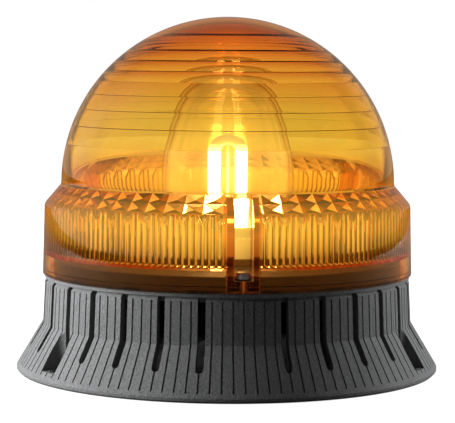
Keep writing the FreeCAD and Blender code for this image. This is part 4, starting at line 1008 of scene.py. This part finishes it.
    def ring_rows(self, turning: Turning) -> list[Row]:
        """The skirt and the hollow rings up the inside of the dome, with a crest between neighbours.

        Args:
            turning: The mesh to add to.

        Returns:
            The rows of the dome, from its base to the pole.
        """
        inner = self.dome_radius - self.wall
        profile: list[Corner] = []

        def add(elevation: float, extra: float) -> None:
            """Add a point of the profile at an elevation, pushed outwards by some extra."""
            lift = math.radians(elevation)
            reach = inner + extra
            profile.append((reach * math.cos(lift), self.dome_base + reach * math.sin(lift)))

        skirt_rise = self.ring_elevations[0] - self.ring_ledge - self.skirt_from
        for step in range(self.skirt_steps + 1):
            share = step / self.skirt_steps
            extra = self.skirt_step * share - self.skirt_foot * (1 - share)
            add(self.skirt_from + skirt_rise * share, extra)
        for low, high in zip(self.ring_elevations, self.ring_elevations[1:]):
            step_out = self.ring_step * (self.ring_growth + (low / self.ring_bold) ** 2)
            sag = self.ring_sag if low < self.crown_from else self.crown_sag
            for step in range(self.ring_steps + 1):
                share = step / self.ring_steps
                hollow = sag * (1 - (2 * share - 1) ** 2)
                add(low + (high - low - self.ring_ledge) * share, step_out * share + hollow)
        for elevation in range(round(self.ring_elevations[-1]), 90):
            add(elevation, 0.0)
        return [*turning.rounds(profile, self.columns), turning.pole(self.dome_base + inner)]

    def inside(self) -> bpy.types.Object:
        """Build the filled hollow of the lens."""
        turning = Turning()
        plain = self.foot_radius - self.wall
        bottom = self.foot - self.overshoot
        profile: list[Corner] = [
            (self.foot_inner, bottom),
            (self.foot_inner, self.foot_top),
            *((plain + out, self.foot_top + up) for out, up in self.mouth_edge),
            (plain, self.rib_foot - self.rib_gap),
        ]
        rows = [turning.pole(bottom), *turning.rounds(profile, self.rib_count)]
        ribs = self.rib_rows(turning)
        turning.chain([*rows, *ribs])
        crown = self.gem_skin(turning, ribs[-1])
        turning.chain([crown, *self.ring_rows(turning)])
        return turning.piece("lens_hollow")

    def screw_holes(self) -> bpy.types.Object:
        """Round tools for the screw holes in the channel floors."""
        mesh = bmesh.new()
        middle = Vector((0.0, -self.screw_circle, self.channel_floor - self.hole_sink)) * MM
        for angle in self.channels:
            bmesh.ops.create_cone(
                mesh, cap_ends=True, segments=self.hole_sides, radius1=self.screw_hole * MM,
                radius2=self.screw_hole * MM, depth=self.hole_depth * MM,
                matrix=turned(angle) @ Matrix.Translation(middle),
            )
        return hand_over("screw_holes", mesh)

    def build(self) -> bpy.types.Object:
        """Build the lens and put it in the place of its solid.

        Returns:
            The lens.
        """
        reach = self.foot_radius + self.overshoot
        back = self.dome_radius - self.channel_wall
        outer_width = self.channel_width + 2 * self.channel_wall
        hollow = self.inside()
        carve(hollow, blocks("channel_blocks", self.channels, back, reach, outer_width,
                             self.foot - self.block_sink, self.dome_base))
        lens = self.outside()
        carve(lens, hollow)
        carve(lens, blocks("channel_cuts", self.channels, self.dome_radius, reach, self.channel_width,
                           self.channel_floor, self.dome_base + self.overshoot))
        carve(lens, self.screw_holes())
        soften(lens, self.crisp_angle)
        cover(lens, AMBER.material())
        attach(lens, Body.LENS.value)
        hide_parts("lens_dome")
        log.info("built %s with %d faces", lens.name, len(lens.data.polygons))
        return lens


@dataclass
class LensScrews:
    """The three captive lens screws, with rounded heads and a cross recess.

    All lengths are in millimetres and all angles in degrees.

    Attributes:
        circle: Radius on which the screws stand.
        angles: Angles of the screws from the front.
        seat: Height of the underside of the heads.
        head_radius: Radius of a head.
        head_height: Height of a head.
        head_curve: Points of the head's side and crown, as offsets from its lower corner.
        shank_radius: Radius of the shank.
        tip: Height of the shank's end.
        tip_edge: Width and height of the chamfer at that end.
        columns: Points round a screw.
        cross_width: Width of the slots of the recess.
        cross_length: Length of those slots.
        cross_depth: Depth of those slots.
        cross_turns: Angles of those slots.
        cross_reach: How far the tool reaches above the head.
        crisp_angle: Angle from which edges stay crisp.
    """

    circle: float = 70.5
    angles: tuple[float, ...] = (0.0, 120.0, 240.0)
    seat: float = 43.8
    head_radius: float = 2.9
    head_height: float = 2.6
    head_curve: tuple[Corner, ...] = (
        (-0.08, 0.0), (0.0, 0.1), (0.0, 1.3), (-0.14, 1.8), (-0.55, 2.3), (-1.2, 2.55),
    )
    shank_radius: float = 1.45
    tip: float = 31.5
    tip_edge: Corner = (0.4, 0.5)
    columns: int = 48
    cross_width: float = 0.75
    cross_length: float = 3.2
    cross_depth: float = 1.5
    cross_turns: tuple[float, ...] = (20.0, 110.0)
    cross_reach: float = 1.0
    crisp_angle: float = 30.0

    @property
    def top(self) -> float:
        """Height of the top of the heads."""
        return self.seat + self.head_height

    def single(self) -> bpy.types.Object:
        """Build one screw on the axis."""
        turning = Turning()
        chamfer_width, chamfer_height = self.tip_edge
        profile: list[Corner] = [
            (self.shank_radius - chamfer_width, self.tip),
            (self.shank_radius, self.tip + chamfer_height),
            (self.shank_radius, self.seat),
            *((self.head_radius + out, self.seat + up) for out, up in self.head_curve),
        ]
        rows = [turning.pole(self.tip), *turning.rounds(profile, self.columns)]
        turning.chain([*rows, turning.pole(self.top)])
        return turning.piece("lens_screw")

    def build(self) -> bpy.types.Object:
        """Build the three screws as one piece.

        Returns:
            The piece.
        """
        screw = self.single()
        half = self.cross_length / 2
        for angle in self.cross_turns:
            carve(screw, blocks("cross", (angle,), -half, half, self.cross_width,
                                self.top - self.cross_depth, self.top + self.cross_reach))
        soften(screw, self.crisp_angle)
        mesh = bmesh.new()
        place = Matrix.Translation(Vector((0.0, -self.circle, 0.0)) * MM)
        for angle in self.angles:
            copy = screw.data.copy()
            copy.transform(turned(angle) @ place)
            mesh.from_mesh(copy)
            bpy.data.meshes.remove(copy)
        mesh.to_mesh(screw.data)
        mesh.free()
        screw.name = "lens_screws_cross"
        cover(screw, DULL_STEEL.material())
        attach(screw, Body.LENS.value)
        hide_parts("lens_screws")
        log.info("built %s", screw.name)
        return screw


@dataclass
class KeptSolids:
    """The pieces that keep their solids and get a finish each.

    Attributes:
        slider_count: Number of tone sliders.
    """

    slider_count: int = 5

    def dress(self) -> None:
        """Give every kept solid its finish."""
        sliders = [f"tone_slider_{number}" for number in range(1, self.slider_count + 1)]
        finishes = {
            GREY_HOUSING: ("base_housing",),
            GREY_COVER: ("rear_cover",),
            BLACK_MOULDING: ("chassis",),
            GREY_DECK: ("lamp_deck",),
            BLACK_RUBBER: ("cable_grommets", "lens_gasket", "screw_washers", "driver_seal"),
            SOCKET_MOULDING: ("tube_socket", "reflector"),
            WHITE_MOULDING: ("volume_rotor", *sliders),
            RED_MOULDING: ("tone_switch",),
            BLUE_MOULDING: ("volume_trimmer",),
            GREEN_MOULDING: ("terminal_block",),
            SOLDER_MASK: ("circuit_board",),
            SHRINK_SLEEVE: ("storage_capacitor",),
            CONE_FILM: ("diaphragm",),
            FERRITE: ("driver_magnet",),
            COATED_STEEL: ("driver_frame",),
            STEEL: ("rear_cover_screws", "chassis_screws", "deck_screws", "driver_screws",
                    "board_screws", "terminal_screws", "driver_top_plate", "driver_yoke",
                    "tube_electrodes", "trigger_wire"),
            BRASS: ("thread_inserts", "driver_pins", "lamp_contacts"),
            COPPER: ("voice_coil", "trigger_transformer"),
            LAMP_GLASS: ("lamp_cover",),
            LIT_GAS: ("flash_tube",),
        }
        for finish, nodes in finishes.items():
            material = finish.material()
            for node in nodes:
                cover(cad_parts[node], material)
                log.info("dressed %s in %s", node, material.name)


@dataclass(frozen=True)
class SoftSide:
    """Light that comes from one side of the surround.

    Attributes:
        axis: Axis along which the light grows.
        start: Place on that axis, from -1 to 1, where it starts.
        end: Place where it is full.
        strength: Full strength.
    """

    axis: Axis
    start: float
    end: float
    strength: float

    def level(self, nodes: Nodes, direction: bpy.types.bpy_prop_collection) -> Socket:
        """Strength of the light over the directions."""
        value = direction[self.axis.value]
        return nodes.fade(value, self.start, self.end, 0.0, self.strength, Curve.SOFT)


@dataclass(frozen=True)
class SoftLamp:
    """A square lamp that faces the beacon and shows in no reflection.

    Attributes:
        name: Name of the lamp.
        place: Where it hangs.
        energy: Its power in watts.
        size: Side of its square.
        aim: The place that it faces.
    """

    name: str
    place: Triple
    energy: float
    size: float = 0.7
    aim: Triple = (0.0, 0.0, 0.06)

    def hang(self) -> None:
        """Hang the lamp in the scene."""
        data = bpy.data.lights.new(self.name, "AREA")
        data.energy = self.energy
        data.size = self.size
        lamp = bpy.data.objects.new(self.name, data)
        lamp.location = self.place
        lamp.rotation_mode = "QUATERNION"
        lamp.rotation_quaternion = (Vector(self.aim) - Vector(self.place)).to_track_quat("-Z", "Y")
        lamp.visible_glossy = False
        lamp.visible_transmission = False
        bpy.context.scene.collection.objects.link(lamp)


@dataclass
class Studio:
    """A pale floor, soft lamps, a white surround and the camera of the photograph.

    Distances are in metres and angles in degrees.

    Attributes:
        camera_distance: Distance of the camera from the beacon's axis.
        camera_height: Height of the camera.
        camera_azimuth: Turn of the camera about the beacon.
        camera_pitch: How far the camera looks down.
        camera_roll: How far the camera leans.
        focal_length: Focal length in millimetres.
        sensor_width: Width of the picture in the camera, in millimetres.
        clip_start: Nearest distance that the camera sees.
        floor_size: Side of the floor.
        floor_drop: How far the floor lies below the mounting face.
        floor_grey: Grey of the floor in its own light.
        floor_quiet: Grey of the floor in reflections.
        floor_reach: Distances between which the floor turns from soft grey to white.
        floor_white: Brightness of the floor at those distances, as seen.
        front_light: Light from everywhere.
        sides: Light that is added from the sides.
        left_card: Card at the left that only reflections show.
        back_card: Card at the back that only reflections show.
        panel_count: Number of white panels that show through the lens.
        panel_gap: Brightness between them and above them.
        panel_edges: Soft edge of the panels, as a range of the wave that spaces them.
        sky_edges: Soft upper edge of the panels, as a range of the upward direction.
        lamps: The soft lamps.
    """

    camera_distance: float = 0.7182
    camera_height: float = 0.1182
    camera_azimuth: float = 4.8
    camera_pitch: float = 4.377
    camera_roll: float = 0.36
    focal_length: float = 140.6
    sensor_width: float = 36.0
    clip_start: float = 0.01
    floor_size: float = 6.0
    floor_drop: float = 0.0002
    floor_grey: float = 0.14
    floor_quiet: float = 0.06
    floor_reach: tuple[float, float] = (0.1, 0.5)
    floor_white: tuple[float, float] = (0.9, 1.0)
    front_light: float = 0.01
    sides: tuple[SoftSide, ...] = (
        SoftSide(Axis.X, -0.35, -0.95, 0.25),
        SoftSide(Axis.X, 0.35, 0.95, 0.1),
        SoftSide(Axis.Y, 0.0, 0.9, 0.06),
        SoftSide(Axis.Z, 0.4, 1.0, 0.04),
    )
    left_card: SoftSide = SoftSide(Axis.X, -0.45, -0.8, 0.7)
    back_card: SoftSide = SoftSide(Axis.Y, 0.5, 0.85, 0.2)
    panel_count: float = 8.0
    panel_gap: float = 0.15
    panel_edges: tuple[float, float] = (-0.95, -0.3)
    sky_edges: tuple[float, float] = (0.2, 0.65)
    lamps: tuple[SoftLamp, ...] = (
        SoftLamp("left_lamp", (-1.0, 0.15, 0.36), 72.0),
        SoftLamp("right_lamp", (0.95, 0.4, 0.32), 44.0),
    )

    def floor_material(self) -> bpy.types.Material:
        """Pale to the eye and through the lens, quieter in reflections."""
        shader = Shader("pale_floor")
        seen = shader.add("LightPath").outputs
        pale, quiet = (
            shader.add("BsdfDiffuse", {"Color": (grey, grey, grey, 1.0)}).outputs[0]
            for grey in (self.floor_grey, self.floor_quiet)
        )
        matt = shader.add("MixShader", {0: seen["Is Glossy Ray"], 1: pale, 2: quiet}).outputs[0]
        reach = shader.add("VectorMath", {0: shader.coordinates()}, operation="LENGTH").outputs["Value"]
        level = shader.fade(reach, *self.floor_reach, *self.floor_white)
        white = shader.add("Emission", {"Color": WHITE, "Strength": level}).outputs[0]
        either = shader.math(Operation.LARGER, seen["Is Camera Ray"], seen["Is Transmission Ray"])
        lit = shader.add("AddShader", {0: matt, 1: white}).outputs[0]
        return shader.finish(shader.add("MixShader", {0: either, 1: matt, 2: lit}).outputs[0])

    def floor(self) -> None:
        """Lay the floor, which keeps the beacon's soft shadow."""
        mesh = bmesh.new()
        bmesh.ops.create_grid(mesh, x_segments=1, y_segments=1, size=self.floor_size / 2)
        floor = hand_over("floor", mesh)
        floor.location.z = -self.floor_drop
        cover(floor, self.floor_material())
        log.info("laid the floor")

    def surround(self) -> None:
        """White to the eye, panels through the lens, cards in reflections; soft light from the sides."""
        world = bpy.data.worlds.new("studio")
        bpy.context.scene.world = world
        world.use_nodes = True
        nodes = Nodes(world.node_tree)
        generated = nodes.add("TexCoord").outputs["Generated"]
        direction = nodes.add("SeparateXYZ", {0: generated}).outputs
        light = self.front_light
        for side in self.sides:
            light = nodes.math(Operation.ADD, side.level(nodes, direction), light)
        turn = nodes.math(Operation.TURN, direction["Y"], direction["X"])
        wave = nodes.math(Operation.COSINE, nodes.math(Operation.MULTIPLY, turn, self.panel_count))
        panels = nodes.fade(wave, *self.panel_edges, self.panel_gap, 1.0, Curve.SOFT)
        sky = nodes.fade(direction["Z"], *self.sky_edges, 1.0, self.panel_gap, Curve.SOFT)
        through = nodes.math(Operation.MULTIPLY, panels, sky)
        left, back = (card.level(nodes, direction) for card in (self.left_card, self.back_card))
        cards = nodes.math(Operation.LARGER, left, back)
        path = nodes.add("LightPath").outputs
        shine = nodes.math(Operation.MULTIPLY, cards, path["Is Glossy Ray"])
        plain = nodes.add("Background", {"Strength": nodes.math(Operation.ADD, light, shine)}).outputs[0]
        white = nodes.add("Background", {"Color": WHITE, "Strength": 1.0}).outputs[0]
        ring = nodes.add("Background", {"Color": WHITE, "Strength": through}).outputs[0]
        bent = nodes.add("MixShader", {0: path["Is Transmission Ray"], 1: plain, 2: ring}).outputs[0]
        both = nodes.add("MixShader", {0: path["Is Camera Ray"], 1: bent, 2: white}).outputs[0]
        nodes.add("OutputWorld", {"Surface": both})

    def camera(self) -> None:
        """Set up the camera where the photograph was taken from."""
        azimuth, pitch, roll = (math.radians(angle) for angle in
                                (self.camera_azimuth, self.camera_pitch, self.camera_roll))
        level = Vector((math.sin(azimuth), math.cos(azimuth), 0.0))
        right = Vector((math.cos(azimuth), -math.sin(azimuth), 0.0))
        up = Vector((0.0, 0.0, 1.0))
        ahead = level * math.cos(pitch) - up * math.sin(pitch)
        above = level * math.sin(pitch) + up * math.cos(pitch)
        across = right * math.cos(roll) + above * math.sin(roll)
        above = above * math.cos(roll) - right * math.sin(roll)
        data = bpy.data.cameras.new("camera")
        data.lens = self.focal_length
        data.sensor_width = self.sensor_width
        data.clip_start = self.clip_start
        camera = bpy.data.objects.new("camera", data)
        turn = Matrix((across, above, -ahead)).transposed().to_4x4()
        place = -level * self.camera_distance + up * self.camera_height
        camera.matrix_world = Matrix.Translation(place) @ turn
        bpy.context.scene.collection.objects.link(camera)
        bpy.context.scene.camera = camera

    def build(self) -> None:
        """Build the whole studio."""
        self.floor()
        self.surround()
        for lamp in self.lamps:
            lamp.hang()
        self.camera()
        bpy.context.scene.view_settings.view_transform = "Standard"
        log.info("built the studio")


def main() -> None:
    """Build and dress the beacon, then the studio."""
    logging.basicConfig(level=logging.INFO, format="%(name)s: %(message)s")
    AmberLens().build()
    LensScrews().build()
    KeptSolids().dress()
    Studio().build()


if __name__ == "__main__":
    main()
